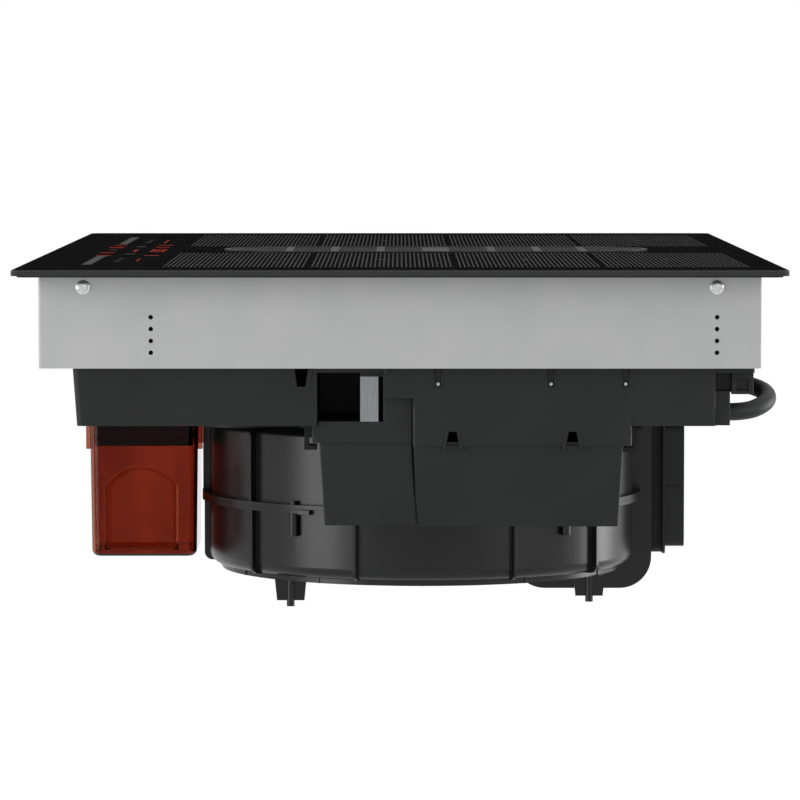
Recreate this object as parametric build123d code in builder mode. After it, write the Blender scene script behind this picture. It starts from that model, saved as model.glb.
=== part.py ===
"""Downdraft induction cooktop, built into a worktop cut-out.

Millimetres, +Z up.  The origin is the middle of the cut-out in the plane of the
worktop's top face: the glass and its seal lie above it, everything else hangs below.
The user stands at -Y, so +X is the user's right and +Y is the wall behind.
"""
from build123d import *
from math import atan2, cos, radians, sin, tan
import os

os.makedirs("parts", exist_ok=True)

# ---------------------------------------------------------------------------
# Driving dimensions
# ---------------------------------------------------------------------------

# Worktop cut-out, glass and sheet-steel casing
cutout_width = 750.0
cutout_depth = 490.0
cutout_clearance = 1.0
glass_width = 802.0
glass_depth = 522.0
glass_thickness = 4.0
glass_corner_radius = 8.0
glass_edge_chamfer = 0.8
seal_thickness = 1.0
seal_inset = 4.0
seal_side_width = 22.0
seal_end_width = 12.0
casing_drop = 62.4
casing_corner_radius = 1.6
casing_lip = 6.0
casing_flange_side = 20.0
casing_flange_end = 31.0
steel = 1.2
fit = 0.2

# Fixings on the casing walls
case_screw_y = 213.8
case_screw_z = -7.5
case_screw_head_radius = 4.7
case_screw_head_height = 2.2
case_screw_radius = 2.0
case_screw_length = 7.0
side_hole_radius = 1.55
side_hole_pitch = 8.0
side_hole_count = 4
side_hole_top_z = -27.7
side_hole_rows = (-168.2, 214.0)
clip_x = 352.0
clip_width = 18.0
clip_tooth = 1.0
clip_tooth_pitch = 8.3
clip_tooth_count = 4
clip_thickness = 0.6

# Base tray, a moulding that snaps under the casing
tray_drop = 40.3
tray_half_width = 361.0
tray_draft = 5.0
tray_front = -222.3
tray_rear = 215.2
tray_corner_radius = 4.0
tray_wall = 2.5
tray_floor_thickness = 3.0
tray_lip_thickness = 3.6
tray_lip_width = 4.0
tray_lip_rear = 25.2
tray_screw_pitch = 200.0
tray_screw_radius = 3.6
tray_screw_head = 2.2
snap_positions = (25.8, 102.5, 153.2)
snap_top_width = 6.2
snap_bottom_width = 3.8
snap_drop = 13.3
snap_tab_width = 4.0
snap_bump_radius = 1.2
snap_skin = 0.8
snap_rim = 1.1
snap_rim_height = 0.7
wide_window_y = -67.0
wide_window_top = 9.8
wide_window_bottom = 5.8
wide_window_rim = 2.8
notch_inner_x = 254.0
notch_front = -56.4
notch_rear = 8.6
pod_rear = 157.6
pod_drop = 13.5
pod_side = 358.0

# Terminal box in the notch, and the deep cover under the pod
terminal_side = 352.0
terminal_shoulder_z = -99.9
terminal_raised_z = -83.8
terminal_raised_y = -11.5
terminal_body_front = -59.8
terminal_seam_z = -114.5
cover_bottom_z = -171.4
cover_wall = 2.5
cover_corner_radius = 1.2
cover_draft = 6.0
cover_front_step = 4.8
cover_front_lean = 3.4
cover_rear_lean = 2.6
pod_cover_step = 6.0
pod_cover_extra = 0.9
cover_gap = 0.5
hook_reach = 6.2
hook_width = 16.0
hook_x = 306.0
hook_thickness = 3.2
seam_slots = (35.8, 117.3)
seam_slot_top = 5.2
seam_slot_bottom = 9.4
seam_slot_height = 9.8
seam_post_width = 1.9
seam_post_drop = 4.4
strap_width = 12.3
strap_y = -20.9
strap_thickness = 2.0
strap_foot = 14.0
strap_head = 3.1
terminal_count = 5
terminal_pitch = 11.0
terminal_block_depth = 32.0
terminal_block_height = 18.0
terminal_bore_radius = 3.2
supply_width = 70.0
supply_depth = 116.0
choke_height = 26.0
relay_height = 18.0
can_radius = 11.0
can_height = 30.0

# Air intake: trim ring, grille, filter cassette and shaft
vent_y = 27.0
vent_width = 112.0
vent_length = 320.0
vent_overlap = 3.5
vent_trim_height = 0.6
vent_sleeve_wall = 2.0
vent_collar_wall = 0.8
vent_sleeve_drop = 12.0
vent_ledge = 3.0
vent_ledge_thickness = 2.0
grille_rim_width = 5.0
grille_rim_height = 2.4
grille_slat_width = 4.5
grille_slat_pitch = 12.0
grille_slat_count = 7
grille_slat_depth = 5.0
grille_rib_proud = 0.4
grille_rib_width = 6.0
grille_rib_offsets = (41.6, 76.0, 110.0)
grille_bridge_width = 20.0
filter_clearance = 0.4
cassette_rim_thickness = 2.0
cassette_inset = 13.0
cassette_wall = 1.6
cassette_height = 76.0
cassette_window_width = 24.0
cassette_window_pitch = 29.0
cassette_window_count = 7
cassette_window_margin = 8.0
cassette_handle_width = 16.0
mesh_fold_pitch = 8.0
mesh_fold_depth = 4.0
mesh_fold_count = 25
mesh_thickness = 0.8
shaft_wall = 2.0
shaft_flange = 6.0
shaft_flange_thickness = 2.0

# Sump between the tray and the blower
sump_half_width = 92.0
sump_front = -150.0
sump_rear = 184.0
sump_height = 21.0
sump_wall = 2.5
sump_corner_radius = 36.0
inlet_radius = 78.0
inlet_rim_height = 10.0
drain_width = 22.0
drain_height = 9.0

# Blower
blower_y = 16.1
drum_radius = 160.1
drum_split_drop = 56.0
drum_height = 106.8
drum_edge_radius = 8.0
rib_end_radius = 6.0
drum_wall = 3.0
drum_flange_width = 5.9
drum_flange_thickness = 3.2
flange_tab_length = 10.0
flange_tab_angle = -30.6
drum_rib_angles = (-162.5, -130.1, -90.0, -49.9, -17.5, 24.5, 52.0)
drum_rib_width = 2.4
upper_rib_depth = 5.4
lower_rib_depth = 4.4
base_ring_radius = 151.0
base_ring_width = 10.0
base_ring_height = 4.0
base_tick_count = 12
plenum_near_x = 0.0
plenum_far_x = -236.0
plenum_front = 86.0
plenum_rear = 191.0
plenum_bottom_z = -252.5
plenum_edge_radius = 24.0
screw_boss_angles = (-145.8, -106.0, -35.2, 40.4)
screw_boss_radius = 3.25
screw_boss_length = 20.0
shell_screw_radius = 2.5
bellmouth_radius = 71.0
bellmouth_drop = 14.0
bellmouth_wall = 2.0
impeller_radius = 95.0
impeller_eye_radius = 75.0
impeller_height = 62.0
impeller_top_gap = 11.0
impeller_plate = 2.0
blade_count = 36
blade_thickness = 1.4
blade_arc_radius = 16.0
scroll_start_radius = 103.0
scroll_start_angle = 82.0
scroll_end_angle = -155.0
scroll_wall_thickness = 2.0
motor_shaft_radius = 4.0
running_clearance = 0.05
bearing_radius = 11.0
bearing_height = 7.0
stator_radius = 36.0
stator_height = 30.0
stator_lift = 14.0
rotor_gap = 1.0
rotor_wall = 3.0
rotor_height = 40.0
motor_plate_radius = 50.0
motor_plate_thickness = 3.0
damper_radius = 7.0
damper_height = 5.0
damper_circle = 42.0
foot_drop = 19.3
foot_width = 23.2
foot_tip_width = 20.2
foot_thickness = 6.0
foot_pin_radius = 2.9
foot_pin_length = 4.2
foot_places = ((106.0, -80.5), (-106.0, -80.5), (76.0, 140.5))

# Outlet spigot for a flat duct
duct_width = 222.0
duct_height = 89.0
duct_corner_radius = 6.0
duct_center_z = -174.4
duct_wall = 2.5
neck_length = 8.5
neck_inset = 5.5
collar_flange_thickness = 2.0
collar_flange_width = 5.0
spigot_length = 14.6
spigot_groove = 0.7

# Overflow tank and its socket
tank_width = 86.0
tank_depth = 81.2
tank_y = -192.2
tank_top_z = -125.0
tank_height = 99.1
tank_lean = 1.3
tank_wall = 2.2
tank_corner_radius = 8.0
tank_floor_radius = 5.0
tank_lug_length = 3.0
tank_lug_width = 9.0
tank_lug_height = 18.6
recess_y = -194.0
recess_width = 52.5
recess_height = 61.0
recess_sill = 6.7
recess_depth = 11.0
recess_taper = 16.0
socket_plate_thickness = 4.0
socket_spigot_drop = 16.0
socket_bore_radius = 10.0
seal_section_radius = 1.6

# Induction coils and electronics
zone_inner_x = 72.0
zone_outer_x = 346.0
zone_front = -159.0
zone_rear = 234.0
zone_count = 4
zone_gap = 7.0
coil_thickness = 5.0
coil_band = 32.0
former_thickness = 3.0
ferrite_thickness = 4.5
ferrite_width = 14.0
ferrite_count = 6
mica_thickness = 0.8
sensor_radius = 5.0
carrier_thickness = 1.5
carrier_inner_x = 64.5
carrier_front = -226.0
board_thickness = 1.6
board_width = 160.0
board_length = 270.0
board_inner_x = 80.0
board_y = 32.0
standoff_height = 8.0
standoff_radius = 4.0
board_can_width = 30.0
board_can_depth = 42.0
board_can_pitch = 52.0
board_can_count = 4
board_can_height = 24.0
heatsink_length = 150.0
heatsink_width = 50.0
heatsink_base = 5.0
heatsink_fin_height = 22.0
heatsink_fin_thickness = 1.8
heatsink_fin_count = 7
fan_x = 190.0
fan_y = -165.0
fan_size = 92.0
fan_height = 25.0
fan_bore_radius = 43.0
fan_hub_radius = 17.0
fan_blade_count = 7
fan_blade_gap = 1.5
fan_blade_thickness = 1.6
fan_blade_pitch = 35.0
fan_pin_radius = 2.0
panel_half_width = 285.0
panel_inset = 29.0
panel_depth = 64.0
light_frame_height = 6.0

# Mains lead, held at both ends
lead_radius = 6.1
gland_radius = 8.0
gland_length = 5.0
lead_near_x = 330.0
lead_far_x = 262.0
lead_near_z = -94.2
lead_far_z = -77.0
lead_sag = 1.8
lead_reach = 254.4
lead_tail = 2.0
bracket_inner_x = 344.0
bracket_front = 225.7
bracket_drop = 18.7
bracket_window = 8.5
bracket_window_depth = 3.0
end_block_rear = 224.6

# ---------------------------------------------------------------------------
# Levels and outlines worked out from them
# ---------------------------------------------------------------------------

glass_bottom = seal_thickness
glass_face = glass_bottom + glass_thickness
casing_width = cutout_width - 2 * cutout_clearance
casing_depth = cutout_depth - 2 * cutout_clearance
casing_bottom = -casing_drop
casing_height = glass_bottom - casing_bottom
inside_half_width = casing_width / 2 - steel
inside_half_depth = casing_depth / 2 - steel
tray_top = casing_bottom
tray_bottom = tray_top - tray_drop
tray_floor = tray_bottom + tray_floor_thickness
pod_bottom = tray_bottom - pod_drop
opening_width = vent_width - 2 * vent_overlap
opening_length = vent_length - 2 * vent_overlap
sump_bottom = tray_bottom - sump_height
drum_top = sump_bottom
drum_split = drum_top - drum_split_drop
drum_bottom = drum_top - drum_height
base_bottom = drum_bottom - base_ring_height
plenum_mid_x = (plenum_near_x + plenum_far_x) / 2
plenum_width = plenum_near_x - plenum_far_x
drum_floor = drum_bottom + drum_wall
collar_start = plenum_rear
spigot_start = collar_start + neck_length + collar_flange_thickness
spigot_end = spigot_start + spigot_length
panel_front = -glass_depth / 2 + panel_inset
panel_rear = panel_front + panel_depth
wall_lean = atan2(tray_draft, tray_drop)


def save(builder, name):
    """Label a finished piece and write it under its own name."""
    builder.part.label = name
    export_step(builder.part, f"parts/{name}.step")


def outline(box, z, corner):
    """A rounded rectangle (x_min, x_max, y_min, y_max) at height z."""
    x_min, x_max, y_min, y_max = box
    with BuildSketch(Plane.XY.offset(z)) as face:
        with Locations(((x_min + x_max) / 2, (y_min + y_max) / 2)):
            RectangleRounded(x_max - x_min, y_max - y_min, corner)
    return face.sketch


def block(box, low, high, corner=0.5, mode=Mode.ADD):
    """A straight rounded block between two heights."""
    extrude(outline(box, low, corner), amount=high - low, dir=(0, 0, 1), mode=mode)


def drafted(top_box, bottom_box, high, low, corner, mode=Mode.ADD):
    """A block whose sides lean, as a moulding's do."""
    sections = [outline(bottom_box, low, corner), outline(top_box, high, corner)]
    loft(sections=[section.face() for section in sections], ruled=True, mode=mode)


def grown(box, amount):
    """The same rectangle, larger all round by amount."""
    return (box[0] - amount, box[1] + amount, box[2] - amount, box[3] + amount)


def race(width, length, z, y=vent_y):
    """A slot outline with round ends, long in Y."""
    with BuildSketch(Plane.XY.offset(z)) as face:
        with Locations((0, y)):
            SlotOverall(length, width, rotation=90)
    return face.sketch


def race_tube(width, length, wall, low, high, mode=Mode.ADD):
    """A round-ended tube; wall is measured inwards from the outer size."""
    with BuildSketch(Plane.XY.offset(low)) as face:
        with Locations((0, vent_y)):
            SlotOverall(length, width, rotation=90)
            SlotOverall(length - 2 * wall, width - 2 * wall, rotation=90, mode=Mode.SUBTRACT)
    extrude(face.sketch, amount=high - low, mode=mode)


# ---------------------------------------------------------------------------
# Glass, seal and casing
# ---------------------------------------------------------------------------

with BuildPart() as glass_top:
    with BuildSketch(Plane.XY.offset(glass_bottom)):
        RectangleRounded(glass_width, glass_depth, glass_corner_radius)
    extrude(amount=glass_thickness)
    extrude(race(opening_width, opening_length, glass_bottom), amount=glass_thickness,
            mode=Mode.SUBTRACT)
    rim = glass_top.faces().sort_by(Axis.Z)[-1].outer_wire().edges()
    chamfer(rim, glass_edge_chamfer)
save(glass_top, "glass_top")

with BuildPart() as seal_strip:
    with BuildSketch():
        RectangleRounded(glass_width - 2 * seal_inset, glass_depth - 2 * seal_inset,
                         glass_corner_radius - seal_inset / 2)
        Rectangle(glass_width - 2 * seal_inset - 2 * seal_side_width,
                  glass_depth - 2 * seal_inset - 2 * seal_end_width, mode=Mode.SUBTRACT)
    extrude(amount=seal_thickness)
save(seal_strip, "seal_strip")

casing_box = (-casing_width / 2, casing_width / 2, -casing_depth / 2, casing_depth / 2)
case_screw_places = ((-case_screw_y, case_screw_z), (case_screw_y, case_screw_z))
side_hole_places = [(row_y, side_hole_top_z - step * side_hole_pitch)
                    for row_y in side_hole_rows for step in range(side_hole_count)]
snap_x = tray_half_width - tray_draft * snap_drop / tray_drop - tray_wall - steel - fit
snap_z = tray_top - snap_drop + 1.5 * snap_bump_radius
with BuildPart() as casing:
    block(casing_box, casing_bottom, glass_bottom, casing_corner_radius)
    block(grown(casing_box, -steel), casing_bottom + steel, glass_bottom - steel,
          casing_corner_radius - steel / 2, Mode.SUBTRACT)
    block(grown(casing_box, -casing_lip), glass_bottom - steel, glass_bottom, 1.0, Mode.SUBTRACT)
    floor_opening = (-casing_width / 2 + casing_flange_side, casing_width / 2 - casing_flange_side,
                     -casing_depth / 2 + casing_flange_end, casing_depth / 2 - casing_flange_end)
    block(floor_opening, casing_bottom, casing_bottom + steel, 1.0, Mode.SUBTRACT)
    # screw holes and the rows of small holes go through both side walls
    for side in (-1, 1):
        with BuildSketch(Plane.YZ.offset(side * (casing_width / 2 - steel / 2))):
            with Locations(*case_screw_places):
                Circle(case_screw_radius + fit / 2)
            with Locations(*side_hole_places):
                Circle(side_hole_radius)
        extrude(amount=steel, both=True, mode=Mode.SUBTRACT)
    # snap tabs bent down from the flange, each with a small bump
    for side in (-1, 1):
        with Locations([(side * (snap_x + steel / 2), y, tray_top - (snap_drop - fit) / 2)
                        for y in snap_positions]):
            Box(steel, snap_tab_width, snap_drop - fit)
        for y in snap_positions:
            with BuildSketch(Plane(origin=(side * snap_x, y, snap_z), z_dir=(side, 0, 0))):
                Circle(snap_bump_radius)
            extrude(amount=steel + tray_wall + fit)
save(casing, "casing")

with BuildPart() as casing_screws:
    for side in (-1, 1):
        face_x = side * casing_width / 2
        for y in (-case_screw_y, case_screw_y):
            with BuildSketch(Plane(origin=(face_x, y, case_screw_z), z_dir=(side, 0, 0))):
                Circle(case_screw_head_radius)
            extrude(amount=case_screw_head_height, taper=18)
            with BuildSketch(Plane(origin=(face_x, y, case_screw_z), z_dir=(-side, 0, 0))):
                Circle(case_screw_radius)
            extrude(amount=case_screw_length)
save(casing_screws, "casing_screws")

with BuildPart() as worktop_clips:
    tooth_tops = [-clip_tooth_pitch * step for step in range(clip_tooth_count)]
    for end in (-1, 1):
        wall_y = end * casing_depth / 2
        for side in (-1, 1):
            # a sprung strip whose teeth bite the side of the cut-out
            profile = [(wall_y, -1.0), (wall_y + end * clip_thickness, -1.0)]
            for top in tooth_tops:
                profile.append((wall_y + end * clip_tooth, top - clip_tooth_pitch * 0.75))
                profile.append((wall_y + end * clip_thickness, top - clip_tooth_pitch))
            profile.append((wall_y, tooth_tops[-1] - clip_tooth_pitch))
            with BuildSketch(Plane.YZ.offset(side * clip_x - clip_width / 2)):
                with BuildLine():
                    Polyline(*profile, close=True)
                make_face()
            extrude(amount=clip_width)
save(worktop_clips, "worktop_clips")

# ---------------------------------------------------------------------------
# Base tray with its notch, pod and lead bracket
# ---------------------------------------------------------------------------

tray_top_box = (-tray_half_width, tray_half_width, tray_front, tray_rear)
tray_low_box = (-tray_half_width + tray_draft, tray_half_width - tray_draft,
                tray_front + tray_draft / 2, tray_rear)
lip_box = (-tray_half_width - tray_lip_width, tray_half_width + tray_lip_width,
           terminal_raised_y, tray_rear + tray_lip_rear)
notch_roof_z = tray_top - tray_lip_thickness
notch_step_z = terminal_raised_z + fit
notch_outer_x = tray_half_width + 20
notch_shell_top = (notch_inner_x - tray_wall, tray_half_width - fit, notch_front - tray_wall,
                   notch_rear + tray_wall)
notch_shell_low = (notch_inner_x - tray_wall, tray_half_width - tray_draft - fit,
                   notch_front - tray_wall, notch_rear + tray_wall)
pod_box = (notch_inner_x - tray_wall, pod_side, notch_rear, pod_rear)
board_corner_x = board_width / 2 - 8
board_corner_y = board_length / 2 - 8
board_x = board_inner_x + board_width / 2


def side_wall(depth=0.0):
    """A plane on the tray's leaning right-hand wall: x runs along Y, y up the wall."""
    normal = Vector(cos(wall_lean), 0, -sin(wall_lean))
    return Plane(origin=Vector(tray_half_width, 0, tray_top) + normal * depth,
                 x_dir=(0, 1, 0), z_dir=normal)


def keystone(y, top_width, bottom_width, top, drop):
    """Corners of a slot that narrows from its top to its foot."""
    return ((y - top_width / 2, top), (y + top_width / 2, top),
            (y + bottom_width / 2, -drop), (y - bottom_width / 2, -drop))


def hook(wall_y, seam_z, out, foot):
    """A hook on an end wall; its foot reaches back under the seam below."""
    bar = out * hook_reach
    inner = out * (hook_reach - hook_thickness)
    with BuildSketch(Plane.YZ.offset(hook_x - hook_width / 2)) as face:
        with BuildLine():
            Polyline((wall_y - out, seam_z + 3 * hook_thickness),
                     (wall_y + bar + out * hook_thickness, seam_z + 3 * hook_thickness),
                     (wall_y + bar + out * hook_thickness, seam_z + 2.4 * hook_thickness),
                     (wall_y + bar, seam_z + 2.4 * hook_thickness),
                     (wall_y + bar, seam_z - 2.4 * hook_thickness),
                     (wall_y - out * foot, seam_z - 2.4 * hook_thickness),
                     (wall_y - out * foot, seam_z - 1.4 * hook_thickness),
                     (wall_y + inner, seam_z - 1.4 * hook_thickness),
                     (wall_y + inner, seam_z + hook_thickness / 4),
                     (wall_y - out, seam_z + hook_thickness / 4), close=True)
        make_face()
    extrude(face.sketch, amount=hook_width)


with BuildPart() as snap_rims:
    # raised frames round the snap windows
    with BuildSketch(side_wall(-tray_wall / 2)):
        for y in snap_positions:
            with BuildLine():
                Polyline(*keystone(y, snap_top_width + 2 * snap_rim,
                                   snap_bottom_width + 2 * snap_rim, -fit,
                                   snap_drop + snap_rim), close=True)
            make_face()
        with BuildLine():
            Polyline(*keystone(wide_window_y, wide_window_top + 2 * wide_window_rim,
                               wide_window_bottom + 2 * wide_window_rim, -fit,
                               snap_drop + wide_window_rim), close=True)
        make_face()
    extrude(amount=tray_wall / 2 + snap_rim_height)

with BuildPart() as snap_windows:
    # blind pockets over the tabs, each with a hole for the tab's bump, and one open window
    with BuildSketch(side_wall(snap_skin - tray_wall)):
        for y in snap_positions:
            with BuildLine():
                Polyline(*keystone(y, snap_top_width, snap_bottom_width, 1.0, snap_drop),
                         close=True)
            make_face()
    extrude(amount=tray_wall - snap_skin + 2 * tray_lip_width)
    with BuildSketch(Plane.YZ.offset(snap_x)):
        with Locations(*[(y, snap_z) for y in snap_positions]):
            Circle(snap_bump_radius + fit)
    extrude(amount=2 * tray_wall)
    with BuildSketch(side_wall(-2 * tray_wall)):
        with BuildLine():
            Polyline(*keystone(wide_window_y, wide_window_top, wide_window_bottom, 1.0,
                               snap_drop), close=True)
        make_face()
    extrude(amount=2 * tray_wall + tray_lip_width)

with BuildPart() as base_tray:
    drafted(tray_top_box, tray_low_box, tray_top, tray_bottom, tray_corner_radius)
    block(lip_box, tray_top - tray_lip_thickness, tray_top, 2.0)
    block(pod_box, pod_bottom, tray_top, 2.0)
    drafted(grown(tray_top_box, -tray_wall), grown(tray_low_box, -tray_wall),
            tray_top, tray_floor, tray_corner_radius - 1, Mode.SUBTRACT)
    # the notch for the terminal box: its own walls, and a roof with a step down at the rear
    drafted(notch_shell_top, notch_shell_low, tray_top, tray_bottom, 1.0)
    block((notch_inner_x, notch_outer_x, notch_front, terminal_raised_y), tray_bottom - 1,
          notch_roof_z, 0.4, Mode.SUBTRACT)
    block((notch_inner_x, notch_outer_x, terminal_raised_y - 1, notch_rear), tray_bottom - 1,
          notch_step_z, 0.4, Mode.SUBTRACT)
    block((notch_inner_x, tray_half_width - tray_draft - 2 * tray_wall,
           terminal_raised_y + tray_wall, notch_rear + 2 * tray_wall),
          notch_step_z + tray_wall, tray_top, 1.0, Mode.SUBTRACT)
    # boss in the notch's roof that the strap hangs from
    block((terminal_side - strap_foot, terminal_side + 2, strap_y - strap_width / 2 - fit,
           terminal_raised_y + 1), notch_roof_z - strap_head, tray_top, 0.4)
    # the pod is open into the tray and, below, into its cover
    block(grown(pod_box, -tray_wall), pod_bottom + tray_wall, tray_top, 1.5, Mode.SUBTRACT)
    pod_mouth = (notch_inner_x + 8, pod_side - tray_draft - 8, notch_rear + 10, pod_rear - 16)
    block(pod_mouth, pod_bottom - 1, tray_top, 3.0, Mode.SUBTRACT)
    # air well through the floor
    extrude(race(opening_width, opening_length, tray_bottom - 1), amount=tray_floor_thickness + 2,
            mode=Mode.SUBTRACT)
    # ring slots under the two cooling fans
    for side in (-1, 1):
        with BuildSketch(Plane.XY.offset(tray_bottom - 1)):
            with Locations((side * fan_x, fan_y)):
                for ring in (0, 1, 2):
                    Circle(fan_bore_radius - 1 - 12 * ring)
                    Circle(fan_bore_radius - 7 - 12 * ring, mode=Mode.SUBTRACT)
                Rectangle(2 * fan_bore_radius, 5, mode=Mode.SUBTRACT)
                Rectangle(5, 2 * fan_bore_radius, mode=Mode.SUBTRACT)
        extrude(amount=tray_floor_thickness + 2, mode=Mode.SUBTRACT)
        # posts that carry the power board
        with BuildSketch(Plane.XY.offset(tray_floor)):
            with Locations((side * board_x, board_y)):
                with GridLocations(2 * board_corner_x, 2 * board_corner_y, 2, 2):
                    Circle(standoff_radius)
        extrude(amount=standoff_height)
    # framed snap windows along the top edge of both sides
    add(snap_rims.part)
    mirror(snap_rims.part, about=Plane.YZ)
    add(snap_windows.part, mode=Mode.SUBTRACT)
    mirror(snap_windows.part, about=Plane.YZ, mode=Mode.SUBTRACT)
    # slots at the seam between the pod and its cover, each between two posts
    slope = (seam_slot_bottom - seam_slot_top) / 2 / seam_slot_height
    seam_top = pod_bottom + seam_slot_height
    post_low = pod_bottom - seam_post_drop
    with BuildSketch(Plane.YZ.offset(pod_side - tray_wall - 1)):
        for y in seam_slots:
            with BuildLine():
                Polyline((y - seam_slot_top / 2, seam_top), (y + seam_slot_top / 2, seam_top),
                         (y + seam_slot_bottom / 2, pod_bottom - 1),
                         (y - seam_slot_bottom / 2, pod_bottom - 1), close=True)
            make_face()
    extrude(amount=tray_wall + 3, mode=Mode.SUBTRACT)
    with BuildSketch(Plane.YZ.offset(pod_side - tray_wall / 2)):
        for y in seam_slots:
            for out in (-1, 1):
                top_y = y + out * seam_slot_top / 2
                low_y = top_y + out * slope * (seam_top - post_low)
                with BuildLine():
                    Polyline((top_y, seam_top), (top_y + out * seam_post_width, seam_top),
                             (low_y + out * seam_post_width, post_low), (low_y, post_low),
                             close=True)
                make_face()
    extrude(amount=tray_wall / 2 + snap_rim_height)
    # bracket and strip beside the lead, and the two holes that the lead passes
    bracket_outer_x = terminal_side + 2
    bracket_low = tray_top - bracket_drop
    block((bracket_inner_x, bracket_outer_x, bracket_front, tray_rear + tray_lip_rear),
          bracket_low, tray_top, 0.4)
    block((bracket_inner_x - 6, bracket_inner_x + 2, tray_rear - 1, bracket_front + 1),
          bracket_low + 1, tray_top, 0.4)
    block((bracket_inner_x + 1, terminal_side, tray_rear - 1, end_block_rear),
          tray_bottom + fit, bracket_low + 2, 0.4)
    with Locations((bracket_outer_x, (bracket_front + tray_rear + tray_lip_rear) / 2,
                    (bracket_low + notch_roof_z) / 2 - 1)):
        Box(2 * bracket_window_depth, bracket_window, bracket_window, mode=Mode.SUBTRACT)
    for x, z in ((lead_near_x, lead_near_z), (lead_far_x, lead_far_z)):
        with BuildSketch(Plane(origin=(x, tray_rear - tray_wall - 2, z), z_dir=(0, 1, 0))):
            Circle(lead_radius + 1)
        extrude(amount=tray_wall + 3, mode=Mode.SUBTRACT)
    # hook on the pod's rear wall, under the edge of its cover
    hook(pod_rear, pod_bottom, 1, pod_cover_step - cover_gap)
save(base_tray, "base_tray")

with BuildPart() as tray_screws:
    with BuildSketch(Plane.XY.offset(notch_roof_z - tray_screw_head)):
        with Locations((0, tray_rear + tray_lip_rear / 2)):
            with GridLocations(tray_screw_pitch, 1, 4, 1):
                Circle(tray_screw_radius)
    extrude(amount=tray_screw_head)
save(tray_screws, "tray_screws")

# ---------------------------------------------------------------------------
# Terminal box, its cover and strap; the pod's deep cover and supply board
# ---------------------------------------------------------------------------

terminal_box_plan = (notch_inner_x + fit, terminal_side, notch_front + fit, notch_rear)
terminal_body_plan = (notch_inner_x + fit, terminal_side, terminal_body_front, notch_rear)
raised_plan = (notch_inner_x + fit, terminal_side, terminal_raised_y, notch_rear)
with BuildPart() as terminal_box:
    block(terminal_box_plan, tray_bottom, terminal_shoulder_z, 1.0)
    block(raised_plan, tray_bottom, terminal_raised_z, 1.0)
    block(terminal_body_plan, terminal_seam_z, tray_bottom, 1.0)
    block(grown(terminal_body_plan, -cover_wall), terminal_seam_z,
          terminal_shoulder_z - cover_wall, 0.6, Mode.SUBTRACT)
    block(grown(raised_plan, -cover_wall), terminal_seam_z, terminal_raised_z - cover_wall,
          0.6, Mode.SUBTRACT)
    # hook on the front wall, under the edge of the cover
    hook(terminal_body_front, terminal_seam_z, -1, cover_front_step / 2)
save(terminal_box, "terminal_box")

terminal_cover_top = (notch_inner_x + fit, terminal_side - 1,
                      terminal_body_front + cover_front_step, notch_rear - fit)
terminal_cover_low = (notch_inner_x + fit + cover_draft, terminal_side - cover_draft,
                      terminal_cover_top[2] + cover_front_lean,
                      terminal_cover_top[3] + cover_rear_lean)
with BuildPart() as terminal_cover:
    drafted(terminal_cover_top, terminal_cover_low, terminal_seam_z, cover_bottom_z,
            cover_corner_radius)
    drafted(grown(terminal_cover_top, -cover_wall), grown(terminal_cover_low, -cover_wall),
            terminal_seam_z, cover_bottom_z + cover_wall, cover_corner_radius / 2, Mode.SUBTRACT)
save(terminal_cover, "terminal_cover")

terminal_block_top = terminal_shoulder_z - cover_wall
terminal_block_at = ((notch_inner_x + terminal_side) / 2,
                     (terminal_body_front + terminal_raised_y) / 2)
terminal_block_length = (terminal_count + 0.4) * terminal_pitch
with BuildPart() as terminal_block:
    with BuildSketch(Plane.XY.offset(terminal_block_top)):
        with Locations(terminal_block_at):
            Rectangle(terminal_block_length, terminal_block_depth)
    extrude(amount=-terminal_block_height)
    with BuildSketch(Plane.XY.offset(terminal_block_top - terminal_block_height)):
        with Locations(terminal_block_at):
            with GridLocations(terminal_pitch, terminal_block_depth / 2, terminal_count, 2):
                Circle(terminal_bore_radius)
    extrude(amount=terminal_bore_radius, mode=Mode.SUBTRACT)
save(terminal_block, "terminal_block")

with BuildPart() as strap_bracket:
    # a folded strip from the boss in the notch's roof down to the terminal box
    roof_z = notch_roof_z - strap_head
    with BuildSketch(Plane.XZ.offset(-strap_y - strap_width / 2)):
        with BuildLine():
            Polyline((terminal_side, roof_z), (terminal_side, terminal_shoulder_z),
                     (terminal_side - strap_foot, terminal_shoulder_z),
                     (terminal_side - strap_foot, terminal_shoulder_z + strap_thickness),
                     (terminal_side - strap_thickness, terminal_shoulder_z + strap_thickness),
                     (terminal_side - strap_thickness, roof_z - strap_thickness),
                     (terminal_side - strap_foot, roof_z - strap_thickness),
                     (terminal_side - strap_foot, roof_z), close=True)
        make_face()
    extrude(amount=strap_width)
save(strap_bracket, "strap_bracket")

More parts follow.
